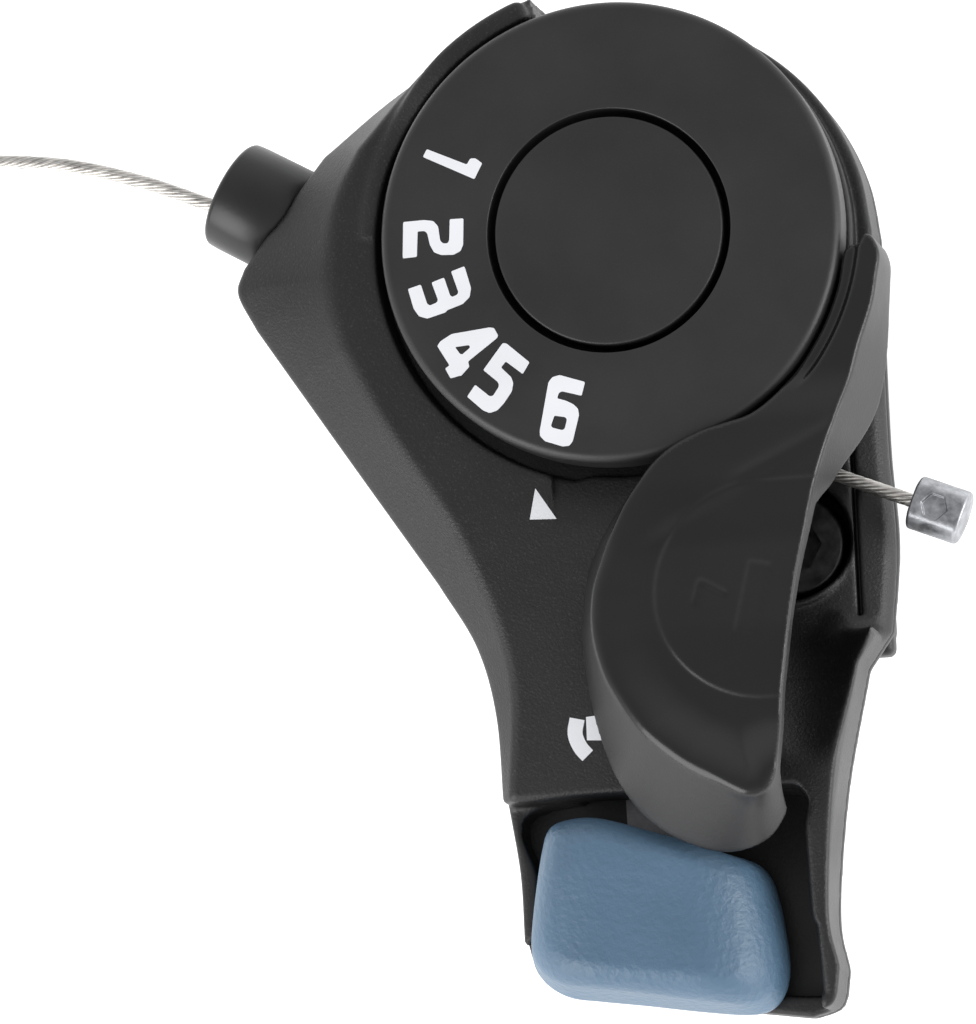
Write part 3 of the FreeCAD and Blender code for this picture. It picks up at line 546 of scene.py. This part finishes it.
def bracket():
    """Base plate with the handlebar clamp and the wall beside the clamp bolt."""
    cx, cy = CLAMP
    g = Grid((-34.5, -66, -15.5), (21, 23.5, 14.2), 0.36)
    shape = both(plan(g, body_outline(0)), np.abs(g.z - 12.6) - 0.8, 0.25)
    ring = both(np.hypot(g.y - cy, g.z) - 13.9, np.maximum(np.abs(g.x - cx) - 5.0, g.z - BASE_TOP), 0.6)
    nose = np.maximum(both(np.hypot(g.y - BOLT[1], np.minimum(g.z + 4.0, 0)) - 5.0,
                           np.abs(g.x - cx) - 5.0, 0.6), g.z - BASE_TOP)
    shape = either(shape, ring, 0.8)
    shape = either(shape, nose, 0.8)
    shape = either(shape, block(g, (5.4, 19.3), (-33.2, -16.0), (6.0, 14.6), 0.9), 0.5)
    shape = np.maximum(shape, g.z - BASE_TOP)
    shape = either(shape, block(g, (16.4, 19.3), (-34.4, -32.6), (7.0, 9.6), 0.6), 0.4)
    shape = either(shape, block(g, (cx - 5, cx + 5), (-16, 3), (9.5, 13.3), 0.4), 0.6)
    bar = np.hypot(g.y - cy, g.z) - 11.1
    shape = less(shape, bar - np.where(np.abs(g.x - cx) > 5.0, 0.4, 0.0), 0.3)
    shape = less(shape, block(g, (0, 25), (-40, cy), (-1, 1)), 0.3)
    shape = less(shape, radius(g, BOLT) - 2.7, 0.2)
    shape = less(shape, both(radius(g, BOLT) - 5.2, 7.0 - g.z), 0.2)
    sixth = [np.abs((g.x - BOLT[0]) * math.cos(a) + (g.y - BOLT[1]) * math.sin(a)) - 4.05
             for a in np.radians((30, 90, 150))]
    shape = less(shape, np.maximum(np.maximum(np.maximum(*sixth[:2]), sixth[2]), g.z + 5.0), 0.15)
    out, aside, up = stop_frame(g)
    shape = less(shape, both(np.hypot(aside, up) - 4.9, out - 9.0), 0.2)
    points, faces, normals = surface(g, shape)
    piece("clamp_bracket_body", points, faces, "housing", bracket_black, ["clamp_bracket"],
          normals)


# ---------------------------------------------------------------- lever
# The edge of the lever's top, and of its skirt's foot, seen in plan.
NECK_EDGE = [on_dial(19.5, -9), on_dial(19.5, -18), on_dial(19.5, -28), on_dial(19.5, -38), (13.3, -14.4)]
LEVER_TOP = [(20.5, -2.6)] + NECK_EDGE + [
    (11.1, -16.1), (8.9, -16.8), (6.8, -17.4), (4.4, -18.5), (2.7, -19.8), (1.4, -21.3), (0.2, -22.9),
    (-1.1, -25.3), (-2.0, -27.7), (-2.6, -30.0), (-2.7, -33.0), (-2.1, -36.0), (-1.0, -38.6), (1.2, -42.0),
    (4.3, -44.8), (7.6, -46.7), (9.6, -47.6), (11.2, -47.3), (12.1, -46.0), (12.4, -44.0), (12.7, -39.9),
    (13.3, -35.9), (13.9, -31.8), (14.7, -27.7), (15.8, -23.6), (16.9, -20.3), (17.9, -17.9), (18.8, -15.5),
    (19.5, -13.4), (20.3, -10.8), (20.9, -9.2), (21.5, -7.4), (21.9, -5.4), (22.2, -3.6), (21.7, -2.2),
    (21.0, -1.9)]
LEVER_FOOT = [(20.5, -2.4)] + NECK_EDGE + [
    (11.2, -16.3), (8.6, -17.8), (6.0, -18.8), (3.8, -19.4), (2.0, -20.1), (0.5, -21.3), (-0.9, -22.8),
    (-2.3, -25.0), (-3.6, -27.8), (-4.2, -31.6), (-4.3, -34.1), (-3.9, -38.2), (-3.2, -41.6), (-2.1, -44.9),
    (-0.2, -47.9), (2.2, -49.9), (5.4, -51.3), (7.9, -51.5), (10.4, -50.6), (11.9, -48.6), (12.3, -46.4),
    (12.4, -44.0), (12.6, -39.9), (13.2, -35.9), (13.9, -31.8), (14.8, -27.7), (16.1, -23.6), (17.6, -20.7),
    (19.2, -18.0), (20.4, -15.4), (21.2, -12.5), (21.6, -9.6), (21.8, -7.2), (22.0, -5.0), (22.1, -3.4),
    (21.7, -2.1), (21.0, -1.8)]
FOOT_Z = 23.9
NECK_FOOT_Z = 19.2
DISH_AT, DISH_R = (11.5, -30.6), 8.9


def lever_crest(y):
    """The height of the lever's top, which rises away from the dial."""
    return 26.7 + 3.7 * ramp((-12.0 - y) / 34.0)


def dial_field(g, grow=0.0):
    """The dial's outside, a disc with a rounded shoulder."""
    return both(radius(g) - DIAL_R, np.maximum(g.z - DIAL_TOP, 23.0 - g.z), 1.8) - grow


def bar_and_chevron(g):
    """A plain bar and a chevron, for the mark moulded in the lever's dish."""
    def box_between(a, b, half):
        a, b = np.array(a), np.array(b)
        way = (b - a) / np.linalg.norm(b - a)
        x, y = g.x - (a[0] + b[0]) / 2, g.y - (a[1] + b[1]) / 2
        return np.maximum(np.abs(x * way[0] + y * way[1]) - np.linalg.norm(b - a) / 2,
                          np.abs(y * way[0] - x * way[1]) - half)
    mark = box_between((11.4, -28.4), (10.05, -34.2), 0.95)
    mark = np.minimum(mark, box_between((6.4, -29.6), (8.6, -30.9), 0.22))
    return np.minimum(mark, box_between((6.4, -29.6), (5.9, -31.5), 0.22))


def lever_top(g, inward):
    """The height of the lever's top: a rolled rim, a dish and a valley towards the dial."""
    crest = lever_crest(g.y)
    end = ramp((-33.0 - g.y) / 9.0)
    flank = ramp((-19.0 - g.y) / 8.0)
    rim = -0.22 * flank * np.clip(1 - inward / 1.2, 0, 1) ** 2
    valley = (g.y + 22.3) - 0.477 * (g.x - 7.8)
    past_valley = ramp((0.5 - 0.903 * valley) / 2.1)
    depth = (0.55 + 0.85 * end) * ramp((inward - 0.6) / 4.6) * past_valley * flank
    ripple = 0.16 * np.exp(-((valley + 0.2) / 0.75) ** 2) * ramp((g.x - 8.0) / 3.0)
    dish = np.hypot(np.minimum(g.x - DISH_AT[0], 0), g.y - DISH_AT[1]) - DISH_R
    step = 0.15 * ramp((0.15 - dish) / 0.35)
    neck = 0.75 * ramp((-12.5 - g.y) / 4.5) * ramp((g.y + 27.0) / 6.0)
    raised = 0.09 * ramp((0.06 - bar_and_chevron(g)) / 0.16)
    ledge = 0.45 * ramp((20.75 - radius(g)) / 0.3) * ramp((g.y + 14.5) / 2.5)
    return crest + neck + rim - depth + step + raised + ripple - ledge


def lever():
    """The thumb lever: arm beside the dial, hollow paddle with a dished top and a drafted skirt."""
    g = Grid((-5.5, -53, 18), (23.5, 0, 31.6), 0.19)
    top_loop = loop(LEVER_TOP, 5)
    top_plan, foot_plan = plan(g, top_loop), plan(g, loop(LEVER_FOOT, 5))
    open_right = np.array(LEVER_TOP[6:25] + [(40.0, -44.0), (40.0, -15.0)])
    inward = -plan(g, open_right)
    crest = lever_crest(g.y)
    foot_z = NECK_FOOT_Z + (FOOT_Z - NECK_FOOT_Z) * ramp((-14.5 - g.y) / 9.0)
    share = np.clip((g.z - foot_z) / (crest - 0.6 - foot_z), -0.2, 1.15)
    side = foot_plan * (1 - share) + top_plan * share
    top = g.z - lever_top(g, inward)
    shape = both(side, top, 0.34)
    shape = both(shape, foot_z - g.z, 0.25)
    hollow = np.maximum(side + 1.6, g.z - (lever_top(g, inward) - 1.9))
    right = 13.2 + 0.18 * (g.y + 40.0)
    skirt_end = -44.3 - g.y - 0.62 * (30.0 - g.z)
    start = (g.y + 24.0 + 0.8 * (g.z - 26.0)) * 0.78
    open_side = np.maximum(np.maximum(right - 3.0 - g.x, top + 2.2), np.maximum(start, skirt_end * 0.85))
    shape = less(shape, np.maximum(np.minimum(hollow, open_side), g.y + 22.0), 0.25)
    shape = less(shape, dial_field(g, 0.14), 0.12)
    shape = less(shape, column(g, 20.0, (0, 22.8)), 0.0)
    points, faces, normals = surface(g, shape)
    obj = piece("thumb_lever_paddle", points, faces, "lever", lever_gloss, ["thumb_lever"],
                normals)
    obj.data.materials.append(lever_satin)
    on_top = np.broadcast_to(np.maximum(top_plan + 0.12, lever_crest(g.y) - 3.2 - g.z), g.shape)
    is_top = (g.sample(on_top, points) < 0) & (normals[:, 2] > 0.15)
    kinds = [0 if all(is_top[i] for i in f) else 1 for f in faces]
    obj.data.polygons.foreach_set("material_index", kinds)


def lever_hub():
    """The plate under the dial, which joins the arm to the works."""
    g = Grid((-21, -21, 20), (21, 21, 24), 0.25)
    arm = np.where((angle(g) > 295) & (angle(g) < 348), -1.0, 1.0)
    shape = np.minimum(column(g, 17.3, (20.8, 22.9), edge=0.2),
                       both(column(g, DIAL_R + 1.0, (20.8, 22.9), edge=0.2), arm))
    shape = less(shape, column(g, 6.5, (0, 40)))
    points, faces, normals = surface(g, shape)
    piece("thumb_lever_hub", points, faces, "lever", lever_satin, [], normals)


# ---------------------------------------------------------------- button
def button():
    """The release key: a pillow with a broad crown and drafted sides."""
    g = Grid((-12.6, -66, 14), (12, -46, 24.4), 0.15)
    foot = loop([(-7.9, -47.6), (-4.4, -47.5), (0.4, -49.0), (5.0, -50.6), (7.9, -51.7), (9.1, -53.0),
                 (9.7, -55.0), (10.1, -57.6), (10.3, -60.4), (9.8, -62.5), (8.6, -63.8), (6.6, -64.1),
                 (2.6, -63.6), (-1.6, -62.9), (-5.6, -62.3), (-8.2, -61.8), (-10.1, -60.5), (-11.0, -58.7),
                 (-11.0, -56.9), (-10.3, -53.0), (-9.5, -49.6), (-9.0, -48.3)])
    top = loop([(-7.2, -47.6), (-4.4, -47.6), (0.4, -49.1), (4.6, -50.6), (7.2, -51.9), (8.0, -53.2),
                (8.3, -55.4), (8.5, -58.0), (8.6, -60.4), (8.2, -61.8), (7.2, -62.7), (5.6, -62.9),
                (2.0, -62.4), (-2.0, -61.7), (-5.6, -61.1), (-7.8, -60.4), (-9.2, -59.2), (-9.9, -57.6),
                (-9.8, -55.4), (-9.3, -52.0), (-8.8, -49.4), (-8.3, -48.2)])
    low, high = plan(g, foot), plan(g, top)
    share = np.clip((g.z - 16.5) / 6.5, 0.0, 1.2)
    side = low * (1 - share) + high * share
    left = np.maximum(-3.6 - g.x, 0) / 6.4
    right = np.maximum(g.x - 2.7 + 0.09 * (g.y + 56), 0) / 5.8
    far = np.maximum(g.y + 52.5, 0) / 5.0
    near = np.maximum(-60.2 - g.y, 0) / 3.0
    crown = 23.15 - 1.7 * left ** 2 - 2.3 * right ** 2 - 0.9 * far ** 2 - 0.5 * near ** 2
    shape = both(side, (g.z - crown) * 0.9, 1.9)
    shape = both(shape, 15.4 - g.z, 0.3)
    points, faces, normals = surface(g, shape)
    piece("release_button_key", points, faces, "release", button_blue, ["release_button"],
          normals)


# ---------------------------------------------------------------- turned parts
def lathe(name, profile, body, material, replaces=(), count=192, place=None, closed=True):
    """Turns a profile of (radius, height) points. An open profile is closed by flat ends."""
    angles = np.linspace(0, 2 * math.pi, count, endpoint=False)
    p = np.array(profile, float)
    points = np.stack([np.outer(np.cos(angles), p[:, 0]), np.outer(np.sin(angles), p[:, 0]),
                       np.tile(p[:, 1], (count, 1))], -1).reshape(-1, 3)
    n = len(p)
    faces = [(k * n + i, (k + 1) % count * n + i, (k + 1) % count * n + (i + 1) % n, k * n + (i + 1) % n)
             for k in range(count) for i in range(n if closed else n - 1)]
    if not closed:
        faces += [tuple(k * n for k in reversed(range(count))), tuple(k * n + n - 1 for k in range(count))]
    if place:
        points = place(points)
    return piece(name, points, faces, body, material, replaces)


def arc(cr, cz, r, start, end, steps=8):
    """Points on a quarter round of a profile."""
    return [(cr + r * math.cos(math.radians(start + (end - start) * k / steps)),
             cz + r * math.sin(math.radians(start + (end - start) * k / steps))) for k in range(steps + 1)]


def dial():
    """The numbered dial and its centre cap, with a deep groove between them."""
    top = DIAL_TOP
    profile = [(9.0, 23.2), (9.0, 24.2), (10.14, 24.2)]
    profile += arc(10.14 + 0.12, top - 0.12, 0.12, 180, 90, 4)
    profile += [(12.0, top), (15.0, top), (17.0, top)]
    profile += arc(DIAL_R - 0.8, top - 0.8, 0.8, 88, 3, 10)
    profile += [(DIAL_R, 24.2)]
    profile += arc(DIAL_R - 0.6, 23.6, 0.6, 0, -90, 5)
    profile += [(14.0, 23.0)]
    lathe("dial_disc_face", profile, "lever", dial_black, ["dial_disc"], 256)
    cap = [(3.0, top + 0.02), (6.0, top + 0.015), (8.6, top)] + arc(9.5 - 0.2, top - 0.2, 0.2, 88, 0, 6)
    cap += [(9.5, 24.4), (8.9, 24.0), (3.0, 24.0)]
    lathe("centre_cap_face", cap[::-1], "lever", cap_black, ["centre_cap"], 256,
          closed=False)


def barrel():
    """The casing stop, a turned barrel pressed into the housing's corner."""
    profile = [(2.6, 6.0), (2.6, 0.35), (2.85, 0.0), (4.2, 0.0)] + arc(4.2, 0.5, 0.5, -90, 0, 6)
    profile += [(4.74, 1.2), (4.78, 8.95), (3.3, 8.95), (3.3, 13.0), (1.0, 13.0), (1.0, 6.0)]

    def place(points):
        inwards = np.array([*STOP_WAY, 0.0])
        across = np.array([-STOP_WAY[1], STOP_WAY[0], 0.0])
        return (np.array(STOP_MOUTH) + points[:, 2:3] * inwards + points[:, 0:1] * across
                + points[:, 1:2] * np.array([0, 0, 1.0]))

    lathe("casing_stop_barrel", profile, "housing", barrel_black, ["cable_casing_stop"],
          96, place)


# ---------------------------------------------------------------- cable
def from_stop(inwards, aside):
    """A point on the cable near the casing stop, at the stop's height."""
    x, y = STOP_WAY
    return (STOP_MOUTH[0] + inwards * x + aside * y, STOP_MOUTH[1] + inwards * y - aside * x, STOP_MOUTH[2])


CABLE_PATH = [tuple(along_cable(u, v, z)) for u, v, z in (
    (30.2, -12.2, 18.0), (14.0, -12.2, 18.0), (5.0, -12.2, 18.0), (-3.0, -10.9, 18.0), (-12.0, -8.4, 17.5),
    (-22.3, -7.65, 14.6))] + [from_stop(6.0, 0.0), from_stop(0.0, 1.5)] + [
    (x, y, 14.4) for x, y in ((-41.8, 9.6), (-48.2, 11.6), (-54.0, 12.5), (-59.4, 12.8))]


def cable():
    """The bare inner cable, nine wires laid round a core."""
    path = smooth_line(CABLE_PATH, 40)
    steps = np.r_[0, np.cumsum(np.linalg.norm(np.diff(path, axis=0), axis=1))]
    at = np.arange(0, steps[-1], 0.35)
    path = np.stack([np.interp(at, steps, path[:, k]) for k in range(3)], 1)
    tangent = np.gradient(path, axis=0)
    tangent /= np.linalg.norm(tangent, axis=1)[:, None]
    up = np.array([0, 0, 1.0])
    across = np.cross(tangent, up)
    points, faces = [], []
    sides = 7
    for strand in range(9):
        turn = at / 7.5 * 2 * math.pi + strand * 2 * math.pi / 9
        r = 0.42
        centre = path + r * (np.cos(turn)[:, None] * across + np.sin(turn)[:, None] * up)
        first = len(points)
        for k in range(sides):
            a = k * 2 * math.pi / sides
            ring = centre + 0.165 * (math.cos(a) * across + math.sin(a) * up)
            points.extend(ring.tolist())
        n = len(path)
        for k in range(sides):
            j = (k + 1) % sides
            faces += [(first + k * n + i, first + k * n + i + 1, first + j * n + i + 1, first + j * n + i)
                      for i in range(n - 1)]
        faces += [tuple(first + k * n for k in range(sides))]
        faces += [tuple(first + k * n + n - 1 for k in reversed(range(sides)))]
    first = len(points)
    n = len(path)
    for k in range(8):
        a = k * 2 * math.pi / 8
        points.extend((path + 0.4 * (math.cos(a) * across + math.sin(a) * up)).tolist())
    for k in range(8):
        j = (k + 1) % 8
        faces += [(first + k * n + i, first + k * n + i + 1, first + j * n + i + 1, first + j * n + i)
                  for i in range(n - 1)]
    faces.append(tuple(first + k * n for k in range(8)))
    faces.append(tuple(first + k * n + n - 1 for k in reversed(range(8))))
    piece("inner_cable_strands", points, faces, "cable", wire_steel, ["inner_cable"])


def nipple():
    """The cable's cast head, with a flat on top and a small hexagon in it."""
    g = Grid((21, -28.5, 15), (29.5, -19.5, 21), 0.08)
    u, v, w = cable_frame(g)
    v = v - HEAD_OFFSET
    shape = both(np.hypot(v, w) - 2.25, np.abs(u - 32.2) - 2.2, 0.3)
    shape = both(shape, w - 1.95, 0.2)
    x, y = u - 32.0, v
    slopes = np.maximum(np.abs(x * 0.866 + y * 0.5), np.abs(x * 0.866 - y * 0.5))
    hexagon = np.maximum(np.abs(y), slopes) - 0.95
    shape = less(shape, both(hexagon, 1.55 - w), 0.12)
    points, faces, normals = surface(g, shape)
    piece("cable_head", points, faces, "cable", zinc, ["cable_nipple"], normals)


# ---------------------------------------------------------------- printed marks
PRINT = 0.03


def ribbon(path, width, closed=False):
    """A flat band along a path in plan: its left and right edges."""
    p = np.array(path, float)
    if closed:
        ahead, behind = np.roll(p, -1, 0) - p, p - np.roll(p, 1, 0)
    else:
        ahead = np.vstack([p[1:] - p[:-1], p[-1:] - p[-2:-1]])
        behind = np.vstack([p[1:2] - p[:1], p[1:] - p[:-1]])
    ahead /= np.linalg.norm(ahead, axis=1)[:, None]
    behind /= np.linalg.norm(behind, axis=1)[:, None]
    mid = ahead + behind
    mid /= np.linalg.norm(mid, axis=1)[:, None]
    reach = width / 2 / np.maximum((mid * ahead).sum(1), 0.5)
    side = np.stack([-mid[:, 1], mid[:, 0]], 1) * reach[:, None]
    return p + side, p - side


def smooth_corners(loop, r, steps=3):
    """A closed outline with every corner rounded by about r."""
    p = [np.array(q, float) for q in loop]
    out = []
    for a, b, c in zip(p[-1:] + p[:-1], p, p[1:] + p[:1]):
        back, on = a - b, c - b
        near = min(r, np.linalg.norm(back) / 2.2, np.linalg.norm(on) / 2.2)
        s, e = b + back / np.linalg.norm(back) * near, b + on / np.linalg.norm(on) * near
        for k in range(steps + 1):
            t = k / steps
            out.append(tuple((1 - t) ** 2 * s + 2 * t * (1 - t) * b + t * t * e))
    return out


# Outlines of the printed numbers, in millimetres from the dial's middle, and the holes in two of them.
DIGITS = {
    "1": [
        [(-15.24, 7.37), (-14.88, 8), (-11.57, 6.43), (-11.26, 6.91), (-10.82, 6.89), (-10.27, 6.43),
         (-10.99, 5.15)],
    ],
    "2": [
        [(-17.13, 2.05), (-15.36, 2.08), (-14.59, 1.93), (-14.21, 1.46), (-14.09, 0.27), (-13.86, -0.01),
         (-13.46, -0.02), (-13.32, 0.21), (-13.2, 1.97), (-12.05, 1.95), (-12.17, -0.24), (-12.41, -0.76),
         (-13.02, -1.02), (-14.05, -0.96), (-14.64, -0.69), (-14.96, -0.05), (-15.14, 0.93),
         (-15.35, 1.16), (-15.95, 1.17), (-16.1, -0.95), (-17.3, -0.99)],
    ],
    "3": [
        [(-16.97, -3.58), (-15.87, -3.29), (-15.41, -4.92), (-15.18, -5.1), (-14.6, -4.9), (-14.48, -4.69),
         (-14.96, -3.19), (-13.89, -2.86), (-13.45, -4.38), (-13.26, -4.53), (-12.86, -4.38),
         (-12.74, -4.17), (-13.28, -2.4), (-12.14, -2.05), (-11.67, -3.89), (-11.81, -4.64),
         (-12.41, -5.18), (-13.75, -5.6), (-13.89, -5.77), (-15.45, -6.17), (-16.14, -5.92),
         (-16.55, -5.27)],
    ],
    "4": [
        [(-14.71, -8.52), (-14.43, -8.15), (-13.46, -7.61), (-10.26, -7.31), (-9.89, -7.39),
         (-9.57, -8.04), (-9.69, -8.25), (-12.18, -10), (-12.09, -10.44), (-12.82, -11.15),
         (-12.98, -11.14), (-13.71, -11.3), (-14.13, -10.44), (-13.75, -10.21)],
        [(-13.22, -8.72), (-12.03, -8.64), (-11.95, -8.86), (-12.64, -9.38), (-12.83, -9.32)],
    ],
    "5": [
        [(-9.22, -8.7), (-8.9, -8.75), (-7.05, -10.46), (-7.66, -11.39), (-9.03, -10.24), (-9.45, -10.71),
         (-8.63, -11.58), (-8.48, -12.09), (-8.64, -12.77), (-9.34, -13.7), (-9.91, -14.24),
         (-10.57, -14.41), (-11.11, -14.15), (-12.39, -12.92), (-11.67, -11.98), (-10.51, -13.02),
         (-10.23, -13.02), (-9.74, -12.36), (-9.68, -12.09), (-9.8, -11.86), (-10.94, -10.81)],
    ],
    "6": [
        [(-5.55, -12.25), (-5.21, -11.84), (-4.59, -11.71), (-2.51, -12.44), (-2.84, -13.56),
         (-4.45, -13.07), (-4.72, -13.18), (-4.89, -13.62), (-4.16, -13.87), (-3.57, -14.2),
         (-3.19, -14.6), (-3.13, -15.14), (-3.75, -17.26), (-4.05, -17.61), (-4.6, -17.63),
         (-6.06, -17.09), (-6.45, -16.63), (-6.45, -16.2)],
        [(-5.18, -15.03), (-4.27, -15.23), (-4.15, -15.44), (-4.36, -16.16), (-4.56, -16.29),
         (-5.4, -16.01), (-5.5, -15.83)],
    ],
}


def printed(name, bands, body, z, material, thick=PRINT):
    """Flat bands of print as one thin mesh. z is a height or a function of x and y."""
    points, faces = [], []
    for left, right, lift in bands:
        n, first = len(left), len(points)
        for level in (0.0, thick + lift):
            for row in (left, right):
                points += [(x, y, (z(x, y) if callable(z) else z) + level) for x, y in row]
        low_l, low_r, top_l, top_r = (first + k * n for k in range(4))
        for i in range(n - 1):
            faces += [(top_l + i, top_r + i, top_r + i + 1, top_l + i + 1),
                      (low_l + i + 1, low_r + i + 1, low_r + i, low_l + i),
                      (low_l + i, top_l + i, top_l + i + 1, low_l + i + 1),
                      (top_r + i, low_r + i, low_r + i + 1, top_r + i + 1)]
        faces.append((low_l, low_r, top_r, top_l))
        faces.append((top_l + n - 1, top_r + n - 1, low_r + n - 1, low_l + n - 1))
    return piece(name, points, faces, body, material, smooth=False)


def digits():
    """The numbers 1 to 6, printed on the dial with their tops towards its middle."""
    for digit, loops in DIGITS.items():
        rounded = [smooth_corners(loop, 0.12) for loop in loops]
        flat = [p for loop in rounded for p in loop]
        n = len(flat)
        points = [(x, y, DIAL_TOP + 0.005) for x, y in flat]
        points += [(x, y, DIAL_TOP + 0.005 + PRINT) for x, y in flat]
        faces = []
        for a, b, c in tessellate_polygon([[Vector((x, y, 0)) for x, y in loop] for loop in rounded]):
            turn = np.cross(np.subtract(flat[b], flat[a]), np.subtract(flat[c], flat[a]))
            if turn < 0:
                b, c = c, b
            faces += [(a + n, b + n, c + n), (a, c, b)]
        first = 0
        for loop in rounded:
            for i in range(len(loop)):
                j = (i + 1) % len(loop)
                faces.append((first + i, first + j, first + j + n, first + i + n))
            first += len(loop)
        piece("dial_digit_" + digit, points, faces, "lever", print_white, smooth=False)


def leg_height(x, y):
    return float(cover_height(y)) + 0.005


def marks():
    triangle = [(-7.75, -20.35), (-8.35, -22.9), (-6.1, -23.0)]
    a, b, c = (np.array(p) for p in triangle)
    rows = [(a * (1 - t) + b * t, a * (1 - t) + c * t) for t in np.linspace(0.02, 1, 6)]
    printed("pointer_mark", [([r[0] for r in rows], [r[1] for r in rows], 0.0)], "housing", leg_height,
            print_white)
    band = smooth_line([(-5.5, -39.4), (-5.75, -40.6), (-5.4, -41.7), (-4.7, -42.6)], 6)
    left, right = ribbon(band, 1.25)
    head = [(np.array([-3.4, -39.2]), np.array([-4.75, -39.3])),
            (np.array([-3.2, -41.3]), np.array([-4.8, -41.2]))]
    bands = [(left, right, 0.0), ([h[0] for h in head], [h[1] for h in head], 0.004)]
    printed("turn_mark", bands, "housing", leg_height, print_white)


# ---------------------------------------------------------------- light, floor and camera
def world():
    scene_world = bpy.data.worlds.new("studio")
    bpy.context.scene.world = scene_world
    scene_world.use_nodes = True
    tree = scene_world.node_tree
    back = tree.nodes["Background"]
    coords = add(tree, "ShaderNodeTexCoord").outputs["Generated"]
    split = add(tree, "ShaderNodeSeparateXYZ", Vector=coords)
    shade = add(tree, "ShaderNodeValToRGB")
    tree.links.new(split.outputs["Z"], shade.inputs[0])
    ramp_ = shade.color_ramp
    ramp_.elements[0].position = 0.0
    ramp_.elements[0].color = (1, 1, 1, 1)
    ramp_.elements[1].position = 1.0
    ramp_.elements[1].color = (0.42, 0.42, 0.43, 1)
    mid = ramp_.elements.new(0.55)
    mid.color = (0.85, 0.85, 0.86, 1)
    tree.links.new(shade.outputs[0], back.inputs["Color"])
    back.inputs["Strength"].default_value = 1.0


def lamp(name, at, target, size, power, colour=(1, 1, 1)):
    data = bpy.data.lights.new(name, "AREA")
    data.shape = "RECTANGLE"
    data.size, data.size_y = size
    data.energy = power
    data.color = colour
    obj = bpy.data.objects.new(name, data)
    obj.location = at
    obj.rotation_euler = (Vector(target) - Vector(at)).to_track_quat("-Z", "Y").to_euler()
    bpy.context.scene.collection.objects.link(obj)


def floor():
    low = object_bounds()[0]
    size = 3.0
    mesh = bpy.data.meshes.new("floor")
    z = low[2] - 0.0005
    corners = [(-size, -size, z), (size, -size, z), (size, size, z), (-size, size, z)]
    mesh.from_pydata(corners, [], [(0, 1, 2, 3)])
    obj = bpy.data.objects.new("floor", mesh)
    bpy.context.scene.collection.objects.link(obj)
    material, _, shader = nodes_of("pale_floor")
    shader.inputs["Base Color"].default_value = (0.9, 0.9, 0.9, 1)
    shader.inputs["Roughness"].default_value = 0.9
    shader.inputs["Specular IOR Level"].default_value = 0.1
    shader.inputs["Emission Color"].default_value = (1, 1, 1, 1)
    shader.inputs["Emission Strength"].default_value = 0.55
    mesh.materials.append(material)
    obj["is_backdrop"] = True


def camera():
    """The photograph's view: from above, a little to the right of and behind the dial."""
    distance, scale = 560.0, 12.2
    back = np.array([math.tan(math.radians(11.4)), math.tan(math.radians(-8.5)), 1.0])
    back /= np.linalg.norm(back)
    side = np.cross([0, 1, 0], back)
    side /= np.linalg.norm(side)
    up = np.cross(back, side)
    roll = math.radians(-2.5)
    right = math.cos(roll) * side + math.sin(roll) * up
    upward = -math.sin(roll) * side + math.cos(roll) * up
    aim = -9.85 * right - 23.11 * upward
    at = (aim + distance * back + AXIS + (0, 0, DIAL_TOP)) * MM
    data = bpy.data.cameras.new("camera")
    data.sensor_width = 36.0
    data.lens = 36.0 * distance * scale / 1024.0
    data.clip_start, data.clip_end = 0.01, 20.0
    obj = bpy.data.objects.new("camera", data)
    turn = Matrix([[right[k], upward[k], back[k]] for k in range(3)]).to_4x4()
    obj.matrix_world = Matrix.Translation(at) @ turn
    bpy.context.scene.collection.objects.link(obj)
    bpy.context.scene.camera = obj


housing()
bracket()
lever()
lever_hub()
button()
dial()
barrel()
cable()
nipple()
digits()
marks()

FINISHES = {
    "clamp_bolt": bolt_steel, "clamp_nut": bolt_steel,
    "housing_screws": bolt_steel, "pivot_axle": works_steel, "pivot_screw": bolt_steel,
    "pivot_washer": works_steel, "pawl_pin": works_steel, "release_pin": works_steel,
    "retaining_clips": works_steel, "pawl_spring": works_steel, "release_spring": works_steel,
    "drum_bush": brass, "cable_drum": acetal, "ratchet_plate": works_steel, "holding_pawl": works_steel,
    "release_arm": bolt_steel,
}
for node, finish in FINISHES.items():
    mesh = frame["nodes"][node].data
    mesh.materials.clear()
    mesh.materials.append(finish)

world()
floor()
lamp("left_front", (-0.45, -0.45, 0.35), (0, 0, 0), (0.5, 0.5), 3.0)
lamp("right", (0.6, -0.1, 0.15), (0, 0, 0), (0.3, 0.6), 3.0)
camera()
bpy.context.scene.view_settings.view_transform = "Standard"
